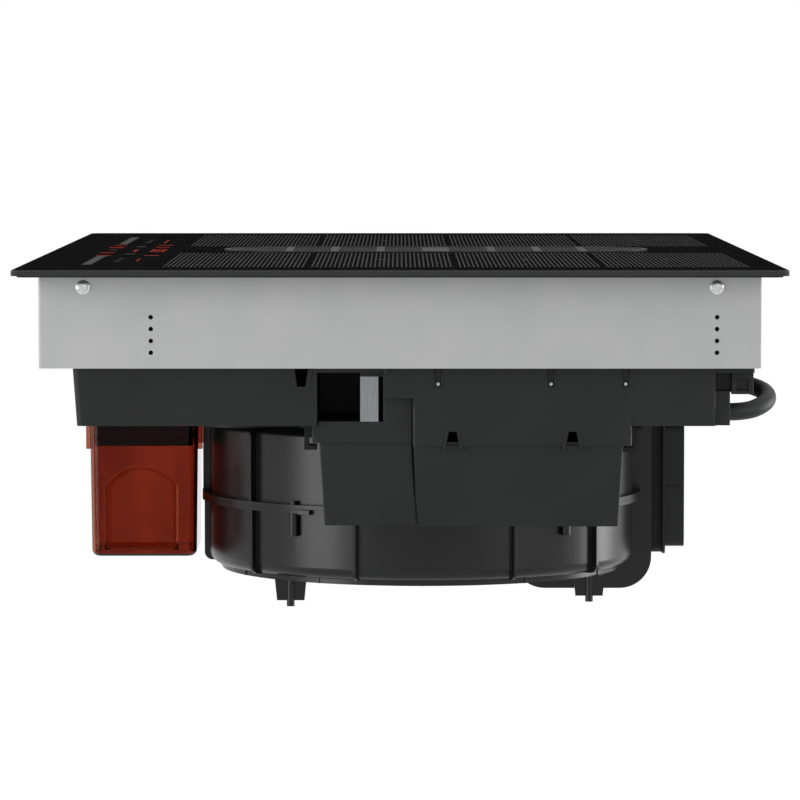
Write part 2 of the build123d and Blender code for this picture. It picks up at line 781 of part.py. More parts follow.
pod_cover_z = cover_bottom_z - pod_cover_extra
pod_cover_top = (notch_inner_x + 2, pod_side - 2, notch_rear + cover_gap,
                 pod_rear - pod_cover_step)
pod_cover_low = (pod_cover_top[0] + cover_draft, pod_cover_top[1] - 2 * cover_draft,
                 pod_cover_top[2] + cover_rear_lean, pod_cover_top[3] - cover_rear_lean)
supply_at = ((pod_cover_low[0] + pod_cover_low[1]) / 2,
             (pod_cover_low[2] + pod_cover_low[3]) / 2)
supply_board_z = pod_cover_z + cover_wall + standoff_height
with BuildPart() as electronics_cover:
    drafted(pod_cover_top, pod_cover_low, pod_bottom, pod_cover_z, cover_corner_radius)
    drafted(grown(pod_cover_top, -cover_wall), grown(pod_cover_low, -cover_wall),
            pod_bottom, pod_cover_z + cover_wall, cover_corner_radius / 2, Mode.SUBTRACT)
    with BuildSketch(Plane.XY.offset(pod_cover_z + cover_wall)):
        with Locations(supply_at):
            with GridLocations(supply_width - 3 * standoff_radius,
                               supply_depth - 3 * standoff_radius, 2, 2):
                Circle(standoff_radius)
    extrude(amount=standoff_height)
save(electronics_cover, "electronics_cover")

with BuildPart() as supply_board:
    part_z = supply_board_z + board_thickness
    choke_y = supply_at[1] - supply_depth / 4
    with BuildSketch(Plane.XY.offset(supply_board_z)):
        with Locations(supply_at):
            Rectangle(supply_width, supply_depth)
    extrude(amount=board_thickness)
    with BuildSketch(Plane.XY.offset(part_z)):
        with Locations((supply_at[0] - supply_width / 4, choke_y)):
            RectangleRounded(supply_width * 0.4, supply_depth / 3, 1.0)
    extrude(amount=choke_height)
    with BuildSketch(Plane.XY.offset(part_z)):
        with Locations((supply_at[0] + supply_width / 4, choke_y)):
            Rectangle(supply_width / 3, supply_depth / 4)
    extrude(amount=relay_height)
    with BuildSketch(Plane.XY.offset(part_z)):
        with Locations((supply_at[0], supply_at[1] + supply_depth / 4)):
            with GridLocations(supply_width / 2, supply_depth / 4, 2, 2):
                Circle(can_radius)
    extrude(amount=can_height)
save(supply_board, "supply_board")

# ---------------------------------------------------------------------------
# Intake: trim ring, grille, filter cassette, shaft and sump
# ---------------------------------------------------------------------------

sleeve_width = opening_width - 2 * fit
sleeve_length = opening_length - 2 * fit
sleeve_bottom = glass_bottom - vent_sleeve_drop
trim_top = glass_face + vent_trim_height
grille_top = glass_face
grille_bottom = grille_top - grille_rim_height
grille_seat = grille_bottom - fit
with BuildPart() as vent_frame:
    # a thin flange on the glass, a collar round the grille and the sleeve that carries it
    race_tube(vent_width, vent_length, vent_overlap + fit + vent_collar_wall,
              glass_face, trim_top)
    race_tube(sleeve_width, sleeve_length, vent_collar_wall, grille_seat, trim_top)
    race_tube(sleeve_width, sleeve_length, vent_sleeve_wall, sleeve_bottom, grille_seat)
    race_tube(sleeve_width, sleeve_length, vent_sleeve_wall + vent_ledge,
              sleeve_bottom - vent_ledge_thickness, sleeve_bottom)
save(vent_frame, "vent_frame")

grille_width = sleeve_width - 2 * vent_collar_wall - 2 * filter_clearance
grille_length = sleeve_length - 2 * vent_collar_wall - 2 * filter_clearance
grille_slat_bottom = grille_top - grille_slat_depth
grille_inner_width = sleeve_width - 2 * vent_sleeve_wall - 2 * filter_clearance
grille_inner_length = sleeve_length - 2 * vent_sleeve_wall - 2 * filter_clearance
with BuildPart() as grille:
    race_tube(grille_width, grille_length, grille_rim_width, grille_bottom, grille_top)
    with BuildSketch(Plane.XY.offset(grille_slat_bottom)):
        with Locations((0, vent_y)):
            with GridLocations(grille_slat_pitch, 1, grille_slat_count, 1):
                Rectangle(grille_slat_width, grille_inner_length)
            SlotOverall(grille_inner_length, grille_inner_width, rotation=90,
                        mode=Mode.INTERSECT)
    extrude(amount=grille_slat_depth)
    # cross ribs under the slats, and the broad bridge that a finger lifts by
    with BuildSketch(Plane.XY.offset(grille_slat_bottom - 1)):
        with Locations((0, vent_y)):
            for offset_y in grille_rib_offsets:
                with Locations((0, offset_y), (0, -offset_y)):
                    Rectangle(grille_inner_width, grille_rib_width)
            SlotOverall(grille_inner_length, grille_inner_width, rotation=90,
                        mode=Mode.INTERSECT)
    extrude(amount=grille_slat_depth + 1 + grille_rib_proud)
    with BuildSketch(Plane.XY.offset(grille_slat_bottom)):
        with Locations((0, vent_y)):
            Rectangle(grille_inner_width, grille_bridge_width)
    extrude(amount=grille_slat_depth)
save(grille, "grille")

cassette_rim_width = sleeve_width - 2 * vent_sleeve_wall - 2 * filter_clearance
cassette_rim_length = sleeve_length - 2 * vent_sleeve_wall - 2 * filter_clearance
cassette_rim_z = sleeve_bottom + fit
cassette_width = cassette_rim_width - 2 * cassette_inset
cassette_length = cassette_rim_length - 2 * cassette_inset
cassette_top = cassette_rim_z + cassette_rim_thickness
cassette_bottom = cassette_top - cassette_height
cassette_floor = cassette_bottom + cassette_wall
window_height = cassette_height - 2 * cassette_window_margin
with BuildPart() as filter_cassette:
    race_tube(cassette_width, cassette_length, cassette_wall, cassette_bottom, cassette_rim_z)
    extrude(race(cassette_width, cassette_length, cassette_bottom), amount=cassette_wall)
    with Locations((0, vent_y, (cassette_top + cassette_bottom) / 2)):
        with GridLocations(1, cassette_window_pitch, 1, cassette_window_count):
            Box(2 * cassette_width, cassette_window_width, window_height, mode=Mode.SUBTRACT)
save(filter_cassette, "filter_cassette")

with BuildPart() as filter_rim:
    race_tube(cassette_rim_width, cassette_rim_length, cassette_inset + cassette_wall,
              cassette_rim_z, cassette_top)
    # finger bar across the middle
    with Locations((0, vent_y, (cassette_rim_z + cassette_top) / 2)):
        Box(cassette_width, cassette_handle_width, cassette_rim_thickness)
save(filter_rim, "filter_rim")

mesh_bottom = cassette_floor + fit
mesh_top = cassette_rim_z - fit
with BuildPart() as filter_meshes:
    mesh_start = vent_y - mesh_fold_count * mesh_fold_pitch / 2
    for side in (-1, 1):
        # a folded sheet stands just inside the windows of each long side
        outer_x = cassette_width / 2 - cassette_wall - fit
        folds = []
        for step in range(mesh_fold_count + 1):
            x = outer_x - (mesh_fold_depth if step % 2 else 0) - mesh_thickness
            folds.append((side * x, mesh_start + step * mesh_fold_pitch))
        back = [(x + side * mesh_thickness, y) for x, y in reversed(folds)]
        with BuildSketch(Plane.XY.offset(mesh_bottom)):
            with BuildLine():
                Polyline(*folds, *back, close=True)
            make_face()
        extrude(amount=mesh_top - mesh_bottom)
save(filter_meshes, "filter_meshes")

shaft_width = opening_width + 2 * shaft_wall
shaft_length = opening_length + 2 * shaft_wall
with BuildPart() as intake_shaft:
    race_tube(shaft_width, shaft_length, shaft_wall, tray_floor, glass_bottom)
    for low, high in ((tray_floor, tray_floor + shaft_flange_thickness),
                      (glass_bottom - shaft_flange_thickness, glass_bottom)):
        race_tube(shaft_width + 2 * shaft_flange, shaft_length + 2 * shaft_flange,
                  shaft_flange + shaft_wall, low, high)
save(intake_shaft, "intake_shaft")

sump_box = (-sump_half_width, sump_half_width, sump_front, sump_rear)
drain_z = sump_bottom + sump_wall + drain_height / 2
with BuildPart() as sump:
    block(sump_box, sump_bottom, tray_bottom, sump_corner_radius)
    block(grown(sump_box, -sump_wall), sump_bottom + sump_wall, tray_bottom,
          sump_corner_radius - sump_wall, Mode.SUBTRACT)
    with BuildSketch(Plane.XY.offset(sump_bottom)):
        with Locations((0, blower_y)):
            Circle(inlet_radius + sump_wall)
    extrude(amount=inlet_rim_height)
    with BuildSketch(Plane.XY.offset(sump_bottom)):
        with Locations((0, blower_y)):
            Circle(inlet_radius)
    extrude(amount=inlet_rim_height, mode=Mode.SUBTRACT)
    with Locations((0, sump_front, drain_z)):
        Box(drain_width, 3 * sump_wall, drain_height, mode=Mode.SUBTRACT)
save(sump, "sump")

# ---------------------------------------------------------------------------
# Blower housing: two moulded half shells round the scroll
# ---------------------------------------------------------------------------


def drum_outline(z, shrink=0.0):
    """Round drum that opens, on the far side, into the straight plenum behind it."""
    near = plenum_near_x - shrink
    far = plenum_far_x + shrink
    rear = plenum_rear - shrink
    with BuildSketch(Plane.XY.offset(z)) as face:
        with Locations((0, blower_y)):
            Circle(drum_radius - shrink)
        with BuildLine():
            Polyline((near, blower_y), (near, rear), (far, rear), (far, plenum_front),
                     (-drum_radius + shrink, blower_y), close=True)
        make_face()
    return face.sketch


def place_on_drum(angle, radius):
    """A point at this angle and radius from the drum's axis."""
    return (radius * cos(radians(angle)), blower_y + radius * sin(radians(angle)))


def drum_flange(low, high):
    """The ring where the two shells meet, left open over the plenum."""
    with BuildSketch(Plane.XY.offset(low)) as face:
        with Locations((0, blower_y)):
            Circle(drum_radius + drum_flange_width)
        add(drum_outline(0, drum_wall), mode=Mode.SUBTRACT)
    extrude(face.sketch, amount=high - low)


def drum_ribs(seam_z, end_z, depth):
    """Upright ribs on the drum's side, from the seam to its far end, rounded there."""
    toward = 1 if seam_z > end_z else -1
    inner = drum_radius - drum_edge_radius
    outer = drum_radius + depth
    rise = rib_end_radius * (1 - cos(radians(45)))
    for angle in drum_rib_angles:
        out = (cos(radians(angle)), sin(radians(angle)), 0)
        across = (out[1], -out[0], 0)
        with BuildSketch(Plane(origin=(0, blower_y, 0), x_dir=out, z_dir=across)) as face:
            with BuildLine():
                Line((inner, end_z), (outer - rib_end_radius, end_z))
                ThreePointArc((outer - rib_end_radius, end_z),
                              (outer - rise, end_z + toward * rise),
                              (outer, end_z + toward * rib_end_radius))
                Polyline((outer, end_z + toward * rib_end_radius), (outer, seam_z),
                         (inner, seam_z), (inner, end_z))
            make_face()
        extrude(face.sketch, amount=drum_rib_width / 2, both=True)


duct_inner_width = duct_width - 2 * neck_inset
duct_inner_height = duct_height - 2 * neck_inset


def cut_duct_mouth():
    """The way out through the plenum's rear wall."""
    with Locations((plenum_mid_x, plenum_rear - drum_wall / 2, duct_center_z)):
        Box(duct_inner_width, 3 * drum_wall, duct_inner_height, mode=Mode.SUBTRACT)


with BuildPart() as blower_upper_shell:
    extrude(drum_outline(drum_split), amount=drum_split_drop)
    crown = blower_upper_shell.faces().sort_by(Axis.Z)[-1].outer_wire().edges()
    fillet(crown, drum_edge_radius / 2)
    drum_ribs(drum_split, drum_top, upper_rib_depth)
    drum_flange(drum_split, drum_split + drum_flange_thickness)
    extrude(drum_outline(drum_split, drum_wall), amount=drum_split_drop - drum_wall,
            mode=Mode.SUBTRACT)
    with BuildSketch(Plane.XY.offset(drum_top)):
        with Locations((0, blower_y)):
            Circle(inlet_radius)
    extrude(amount=-2 * drum_wall, mode=Mode.SUBTRACT)
    # bell mouth that leads the air into the impeller's eye
    with BuildSketch(Plane.XZ.offset(-blower_y)):
        with BuildLine():
            Line((inlet_radius + 4, drum_top), (inlet_radius, drum_top))
            ThreePointArc((inlet_radius, drum_top),
                          (bellmouth_radius + 2, drum_top - bellmouth_drop / 3),
                          (bellmouth_radius, drum_top - bellmouth_drop))
            Line((bellmouth_radius, drum_top - bellmouth_drop),
                 (bellmouth_radius + bellmouth_wall, drum_top - bellmouth_drop))
            ThreePointArc((bellmouth_radius + bellmouth_wall, drum_top - bellmouth_drop),
                          (bellmouth_radius + bellmouth_wall + 2,
                           drum_top - bellmouth_drop / 2),
                          (inlet_radius + 4, drum_top - drum_wall))
            Line((inlet_radius + 4, drum_top - drum_wall), (inlet_radius + 4, drum_top))
        make_face()
    revolve(axis=Axis((0, blower_y, 0), (0, 0, 1)))
    cut_duct_mouth()
save(blower_upper_shell, "blower_upper_shell")

boss_centers = [place_on_drum(angle, drum_radius + shell_screw_radius + fit)
                for angle in screw_boss_angles]
with BuildPart() as blower_lower_shell:
    extrude(drum_outline(drum_bottom), amount=drum_split - drum_bottom)
    fillet(blower_lower_shell.faces().sort_by(Axis.Z)[0].outer_wire().edges(), drum_edge_radius)
    # plenum: a straight box, deeper than the drum, with large lower edges
    with BuildSketch(Plane.YZ.offset(plenum_far_x)):
        with BuildLine():
            Polyline((plenum_front, drum_split), (plenum_front, plenum_bottom_z + plenum_edge_radius))
            RadiusArc((plenum_front, plenum_bottom_z + plenum_edge_radius),
                      (plenum_front + plenum_edge_radius, plenum_bottom_z), -plenum_edge_radius)
            Polyline((plenum_front + plenum_edge_radius, plenum_bottom_z),
                     (plenum_rear - plenum_edge_radius, plenum_bottom_z))
            RadiusArc((plenum_rear - plenum_edge_radius, plenum_bottom_z),
                      (plenum_rear, plenum_bottom_z + plenum_edge_radius), -plenum_edge_radius)
            Polyline((plenum_rear, plenum_bottom_z + plenum_edge_radius),
                     (plenum_rear, drum_split), (plenum_front, drum_split))
        make_face()
    extrude(amount=plenum_width)
    drum_ribs(drum_split, drum_bottom, lower_rib_depth)
    drum_flange(drum_split - drum_flange_thickness, drum_split)
    # flat tab on the flange, beside a screw boss
    tab_at = place_on_drum(flange_tab_angle, drum_radius + drum_flange_width)
    with BuildSketch(Plane.XY.offset(drum_split - drum_flange_thickness)):
        with Locations(Location((*tab_at, 0), (0, 0, flange_tab_angle))):
            Rectangle(1.4 * drum_flange_width, flange_tab_length)
    extrude(amount=drum_flange_thickness)
    # base ring with its small upright ribs
    with BuildSketch(Plane.XY.offset(base_bottom)):
        with Locations((0, blower_y)):
            Circle(base_ring_radius)
            Circle(base_ring_radius - base_ring_width, mode=Mode.SUBTRACT)
            with PolarLocations(base_ring_radius, base_tick_count):
                Rectangle(1.6, 1.6)
    extrude(amount=base_ring_height + drum_wall)
    extrude(drum_outline(drum_floor, drum_wall), amount=drum_split - drum_floor,
            mode=Mode.SUBTRACT)
    plenum_hollow = (plenum_far_x + drum_wall, plenum_near_x - drum_wall,
                     plenum_front + drum_wall + plenum_edge_radius / 2,
                     plenum_rear - drum_wall - plenum_edge_radius / 2)
    block(plenum_hollow, plenum_bottom_z + drum_wall, drum_floor, 2.0, Mode.SUBTRACT)
    # long screw bosses under the flange
    with BuildSketch(Plane.XY.offset(drum_split)):
        with Locations(*boss_centers):
            Circle(screw_boss_radius)
    extrude(amount=-screw_boss_length)
    cut_duct_mouth()
save(blower_lower_shell, "blower_lower_shell")

with BuildPart() as shell_screws:
    screw_z = drum_split + drum_flange_thickness
    with BuildSketch(Plane.XY.offset(screw_z)):
        with Locations(*boss_centers):
            Circle(shell_screw_radius)
    extrude(amount=2.4)
save(shell_screws, "shell_screws")


def scroll_point(share, thickness=0.0):
    """A point on the scroll: its radius grows evenly with the angle."""
    end_radius = drum_radius - drum_wall - fit - scroll_wall_thickness
    radius = scroll_start_radius + share * (end_radius - scroll_start_radius) + thickness
    angle = scroll_start_angle + share * (scroll_end_angle - scroll_start_angle)
    return place_on_drum(angle, radius)


scroll_steps = 8
scroll_top = drum_top - drum_wall
with BuildPart() as scroll_wall:
    inner_curve = [scroll_point(step / scroll_steps) for step in range(scroll_steps + 1)]
    outer_curve = [scroll_point(step / scroll_steps, scroll_wall_thickness)
                   for step in range(scroll_steps, -1, -1)]
    # the tongue runs on as a straight wall to the near corner of the outlet
    nose = outer_curve[-1]
    corner = (plenum_mid_x + duct_inner_width / 2 + scroll_wall_thickness,
              plenum_rear - drum_wall - fit)
    heading = atan2(corner[1] - nose[1], corner[0] - nose[0])
    nose_tip = (nose[0] - scroll_wall_thickness * sin(heading),
                nose[1] + scroll_wall_thickness * cos(heading))
    with BuildSketch(Plane.XY.offset(drum_floor)):
        with BuildLine():
            Spline(*inner_curve)
            Line(inner_curve[-1], outer_curve[0])
            Spline(*outer_curve)
            Polyline(nose, corner, (corner[0] - scroll_wall_thickness, corner[1]), nose_tip,
                     inner_curve[0])
        make_face()
    extrude(amount=scroll_top - drum_floor)
save(scroll_wall, "scroll_wall")

# ---------------------------------------------------------------------------
# Impeller and its motor
# ---------------------------------------------------------------------------

axis_at = (0, blower_y)
impeller_top = drum_top - impeller_top_gap
impeller_bottom = impeller_top - impeller_height
rotor_inner = stator_radius + rotor_gap
rotor_outer = rotor_inner + rotor_wall
motor_plate_z = drum_floor + damper_height
stator_bottom = motor_plate_z + stator_lift
rotor_top = stator_bottom + stator_height + rotor_wall + rotor_gap
blade_inner = (impeller_eye_radius + 2, 0)
blade_outer = (impeller_radius - 1, 0)


def disc(radius, low, high, hole=0.0, mode=Mode.ADD):
    """A disc or ring on the blower's axis."""
    with BuildSketch(Plane.XY.offset(low)) as face:
        with Locations(axis_at):
            Circle(radius)
            if hole > 0:
                Circle(hole, mode=Mode.SUBTRACT)
    extrude(face.sketch, amount=high - low, mode=mode)


with BuildPart() as impeller:
    # forward-curved blades between the back plate and the shroud ring
    with BuildSketch(Plane.XY.offset(impeller_bottom + impeller_plate / 2)):
        with Locations(axis_at):
            with PolarLocations(0, blade_count):
                with BuildLine():
                    front = RadiusArc(blade_inner, blade_outer, blade_arc_radius)
                    back = RadiusArc((blade_inner[0], blade_thickness),
                                     (blade_outer[0], blade_thickness), blade_arc_radius)
                    Line(front @ 1, back @ 1)
                    Line(front @ 0, back @ 0)
                make_face()
    extrude(amount=impeller_height - impeller_plate)
    disc(impeller_radius, impeller_top - impeller_plate, impeller_top,
         impeller_eye_radius)
    disc(impeller_radius, impeller_bottom, impeller_bottom + impeller_plate,
         rotor_outer + fit / 2)
    disc(rotor_outer + 4, impeller_bottom, rotor_top - rotor_wall, rotor_outer + fit / 2)
save(impeller, "impeller")

with BuildPart() as rotor_cup:
    disc(rotor_outer, rotor_top - rotor_height, rotor_top)
    disc(rotor_inner, rotor_top - rotor_height, rotor_top - rotor_wall, mode=Mode.SUBTRACT)
    disc(motor_shaft_radius, rotor_top - rotor_wall, rotor_top, mode=Mode.SUBTRACT)
save(rotor_cup, "rotor_cup")

shaft_bottom = motor_plate_z + 1
with BuildPart() as motor_shaft:
    disc(motor_shaft_radius, shaft_bottom, rotor_top)
save(motor_shaft, "motor_shaft")

lower_bearing_z = motor_plate_z + motor_plate_thickness
upper_bearing_z = stator_bottom + stator_height - bearing_height
tube_radius = bearing_radius + 2
with BuildPart() as motor_mount:
    disc(motor_plate_radius, motor_plate_z, lower_bearing_z)
    disc(tube_radius, motor_plate_z, upper_bearing_z + bearing_height)
    disc(bearing_radius, lower_bearing_z, upper_bearing_z + bearing_height, mode=Mode.SUBTRACT)
    disc(motor_shaft_radius + 1, motor_plate_z, lower_bearing_z, mode=Mode.SUBTRACT)
save(motor_mount, "motor_mount")

with BuildPart() as motor_bearings:
    for low in (lower_bearing_z, upper_bearing_z):
        disc(bearing_radius, low, low + bearing_height, motor_shaft_radius + running_clearance)
save(motor_bearings, "motor_bearings")

stator_slots = 12
with BuildPart() as motor_stator:
    disc(stator_radius, stator_bottom, stator_bottom + stator_height, tube_radius)
    with BuildSketch(Plane.XY.offset(stator_bottom)):
        with Locations(axis_at):
            with PolarLocations((tube_radius + stator_radius) / 2 + 2, stator_slots):
                SlotOverall(stator_radius - tube_radius - 6, 5)
    extrude(amount=stator_height, mode=Mode.SUBTRACT)
save(motor_stator, "motor_stator")

with BuildPart() as motor_dampers:
    with BuildSketch(Plane.XY.offset(drum_floor)):
        with Locations(axis_at):
            with PolarLocations(damper_circle, 4, start_angle=45):
                Circle(damper_radius)
                Circle(damper_radius / 3, mode=Mode.SUBTRACT)
    extrude(amount=damper_height)
save(motor_dampers, "motor_dampers")

with BuildPart() as blower_feet:
    foot_tip = base_bottom - foot_drop
    for x, y in foot_places:
        with BuildSketch(Plane.YZ.offset(x - foot_thickness / 2)):
            with BuildLine():
                Polyline((y - foot_width / 2, base_bottom), (y + foot_width / 2, base_bottom),
                         (y + foot_tip_width / 2, foot_tip + foot_pin_length),
                         (y - foot_tip_width / 2, foot_tip + foot_pin_length), close=True)
            make_face()
        extrude(amount=foot_thickness)
        # a round pin along the plate's outer face that ends in the foot's tip
        pin_x = x + foot_thickness / 2 if x > 0 else x - foot_thickness / 2
        with BuildSketch(Plane.XY.offset(foot_tip)):
            with Locations((pin_x, y)):
                Circle(foot_pin_radius)
        extrude(amount=foot_drop)
save(blower_feet, "blower_feet")

# ---------------------------------------------------------------------------
# Outlet collar
# ---------------------------------------------------------------------------


def duct_section(y, width, height, corner):
    """A rounded rectangle across the duct at depth y."""
    with BuildSketch(Plane(origin=(plenum_mid_x, y, duct_center_z), x_dir=(1, 0, 0),
                           z_dir=(0, 1, 0))) as face:
        RectangleRounded(width, height, corner)
    return face.sketch


spigot_width = duct_width + 2 * duct_wall
spigot_height = duct_height + 2 * duct_wall


with BuildPart() as outlet_collar:
    extrude(duct_section(collar_start, duct_inner_width + 2 * duct_wall,
                         spigot_height + 2 * collar_flange_width, duct_corner_radius),
            amount=neck_length)
    extrude(duct_section(collar_start + neck_length, spigot_width + 2 * collar_flange_width,
                         spigot_height + 2 * collar_flange_width, duct_corner_radius),
            amount=collar_flange_thickness)
    extrude(duct_section(spigot_start, spigot_width, spigot_height, duct_corner_radius),
            amount=spigot_length)
    extrude(duct_section(collar_start, duct_inner_width, duct_inner_height,
                         duct_corner_radius - duct_wall),
            amount=neck_length + collar_flange_thickness, mode=Mode.SUBTRACT)
    extrude(duct_section(spigot_start, duct_width, duct_height,
                         duct_corner_radius - duct_wall), amount=spigot_length,
            mode=Mode.SUBTRACT)
    # parting groove along both ends of the spigot
    for side in (-1, 1):
        with Locations((plenum_mid_x + side * spigot_width / 2, spigot_end, duct_center_z)):
            Box(2 * spigot_groove, 2 * spigot_length, 2 * spigot_groove, mode=Mode.SUBTRACT)
save(outlet_collar, "outlet_collar")

# ---------------------------------------------------------------------------
# Overflow tank, its socket and seal
# ---------------------------------------------------------------------------

tank_bottom = tank_top_z - tank_height
tank_box = (-tank_width / 2, tank_width / 2, tank_y - tank_depth / 2, tank_y + tank_depth / 2)
tank_low_box = (tank_box[0], tank_box[1], tank_box[2] + tank_lean, tank_box[3] - tank_lean)
seal_corner = tank_corner_radius - tank_wall - filter_clearance
spigot_corner = seal_corner - seal_section_radius
spigot_box = grown(tank_box, -tank_wall - filter_clearance - seal_section_radius)
socket_low = tank_top_z + fit
spigot_low = tank_top_z - socket_spigot_drop
seal_z = (tank_top_z + spigot_low) / 2
groove_box = grown(spigot_box, -seal_section_radius)
seal_box = grown(spigot_box, seal_section_radius)

with BuildPart() as tank_socket:
    block((tank_box[0] - 2, tank_box[1] + 2, tank_box[2] - 2, sump_front),
          tray_bottom - socket_plate_thickness, tray_bottom, 3.0)
    block((tank_box[0] + 3, tank_box[1] - 3, tank_box[2] + 3, sump_front), socket_low,
          tray_bottom - socket_plate_thickness, 3.0)
    block(spigot_box, spigot_low, socket_low, spigot_corner)
    block(grown(spigot_box, 4), seal_z - seal_section_radius, seal_z + seal_section_radius,
          3.0, Mode.SUBTRACT)
    block(groove_box, spigot_low, socket_low, spigot_corner - seal_section_radius)
    # bore for the liquid, fed from the sump's front wall
    with BuildSketch(Plane.XY.offset(spigot_low)):
        with Locations((0, tank_y)):
            Circle(socket_bore_radius)
    extrude(amount=drain_z - spigot_low + drain_height / 2, mode=Mode.SUBTRACT)
    block((-drain_width / 2, drain_width / 2, tank_y, sump_front + 1),
          drain_z - drain_height / 2, drain_z + drain_height / 2, 1.0, Mode.SUBTRACT)
save(tank_socket, "tank_socket")

with BuildPart() as tank_seal:
    block(seal_box, seal_z - seal_section_radius, seal_z + seal_section_radius, seal_corner)
    block(groove_box, seal_z - seal_section_radius, seal_z + seal_section_radius,
          spigot_corner - seal_section_radius, Mode.SUBTRACT)
save(tank_seal, "tank_seal")


def arch(grow):
    """The arched thumb recess's outline on the tank's end wall, larger all round by grow."""
    with BuildSketch(Plane(origin=(tank_width / 2, recess_y, tank_bottom + recess_sill),
                           x_dir=(0, -1, 0), z_dir=(-1, 0, 0))) as face:
        half = recess_width / 2 + grow
        shoulder = recess_height - recess_width * 0.27
        with BuildLine():
            Polyline((-half, shoulder), (-half, -grow), (half, -grow), (half, shoulder))
            ThreePointArc((half, shoulder), (0, recess_height + grow), (-half, shoulder))
        make_face()
    return face.sketch


with BuildPart() as overflow_tank:
    drafted(tank_box, tank_low_box, tank_top_z, tank_bottom, tank_corner_radius)
    fillet(overflow_tank.edges().group_by(Axis.Z)[0], tank_floor_radius)
    drafted(grown(tank_box, -tank_wall), grown(tank_low_box, -tank_wall), tank_top_z,
            tank_bottom + tank_wall, tank_corner_radius - tank_wall, Mode.SUBTRACT)
    extrude(arch(tank_wall), amount=recess_depth + tank_wall, taper=recess_taper)
    extrude(arch(0), amount=recess_depth, taper=recess_taper, mode=Mode.SUBTRACT)
    # lugs that a hand grips at the rim
    lug_x = tank_width / 2 - tank_corner_radius - tank_lug_width / 2
    for side in (-1, 1):
        lug_y = tank_y + side * (tank_depth / 2 + tank_lug_length / 2 - tank_wall / 4)
        with Locations((-lug_x, lug_y, tank_top_z - tank_lug_height / 2),
                       (lug_x, lug_y, tank_top_z - tank_lug_height / 2)):
            Box(tank_lug_width, tank_lug_length + tank_wall / 2, tank_lug_height)
save(overflow_tank, "overflow_tank")

# ---------------------------------------------------------------------------
# Touch panel under the front of the glass
# ---------------------------------------------------------------------------

light_frame_z = glass_bottom - light_frame_height
touch_board_z = light_frame_z - board_thickness
panel_plate_z = touch_board_z - carrier_thickness
panel_box = (-panel_half_width, panel_half_width, panel_front, panel_rear)
with BuildPart() as light_frame:
    block(panel_box, light_frame_z, glass_bottom, 2.0)
    with Locations((0, (panel_front + panel_rear) / 2, glass_bottom - light_frame_height / 2)):
        with GridLocations(70, 1, 8, 1):
            Box(60, panel_rear - panel_front - 10, light_frame_height, mode=Mode.SUBTRACT)
save(light_frame, "light_frame")

with BuildPart() as touch_board:
    block(panel_box, touch_board_z, light_frame_z, 2.0)
save(touch_board, "touch_board")

with BuildPart() as panel_bracket:
    block((-panel_half_width - 5, panel_half_width + 5, -inside_half_depth, panel_rear + 2),
          panel_plate_z, touch_board_z)
    block((-panel_half_width - 5, panel_half_width + 5, -inside_half_depth,
           -inside_half_depth + carrier_thickness), casing_bottom + steel, touch_board_z, 0.4)
save(panel_bracket, "panel_bracket")

# ---------------------------------------------------------------------------
# Coils, boards, heat sinks and cooling fans, one set on each side
# ---------------------------------------------------------------------------

mica_bottom = glass_bottom - mica_thickness
coil_bottom = mica_bottom - coil_thickness
former_bottom = coil_bottom - former_thickness
ferrite_bottom = former_bottom - ferrite_thickness
carrier_bottom = ferrite_bottom - carrier_thickness
zone_x = (zone_inner_x + zone_outer_x) / 2
zone_pitch = (zone_rear - zone_front) / zone_count
zone_y = (zone_front + zone_rear) / 2
coil_length = zone_outer_x - zone_inner_x - zone_gap
coil_width = zone_pitch - zone_gap
board_z = tray_floor + standoff_height
board_face = board_z + board_thickness
carrier_rear = inside_half_depth - casing_corner_radius
fan_spot_z = tray_floor
hub_plate = 3.0

with BuildPart() as temperature_sensors:
    for side in (-1, 1):
        with BuildSketch(Plane.XY.offset(coil_bottom)):
            with Locations((side * zone_x, zone_y)):
                with GridLocations(1, zone_pitch, 1, zone_count):
                    Circle(sensor_radius)
        extrude(amount=coil_thickness)
save(temperature_sensors, "temperature_sensors")

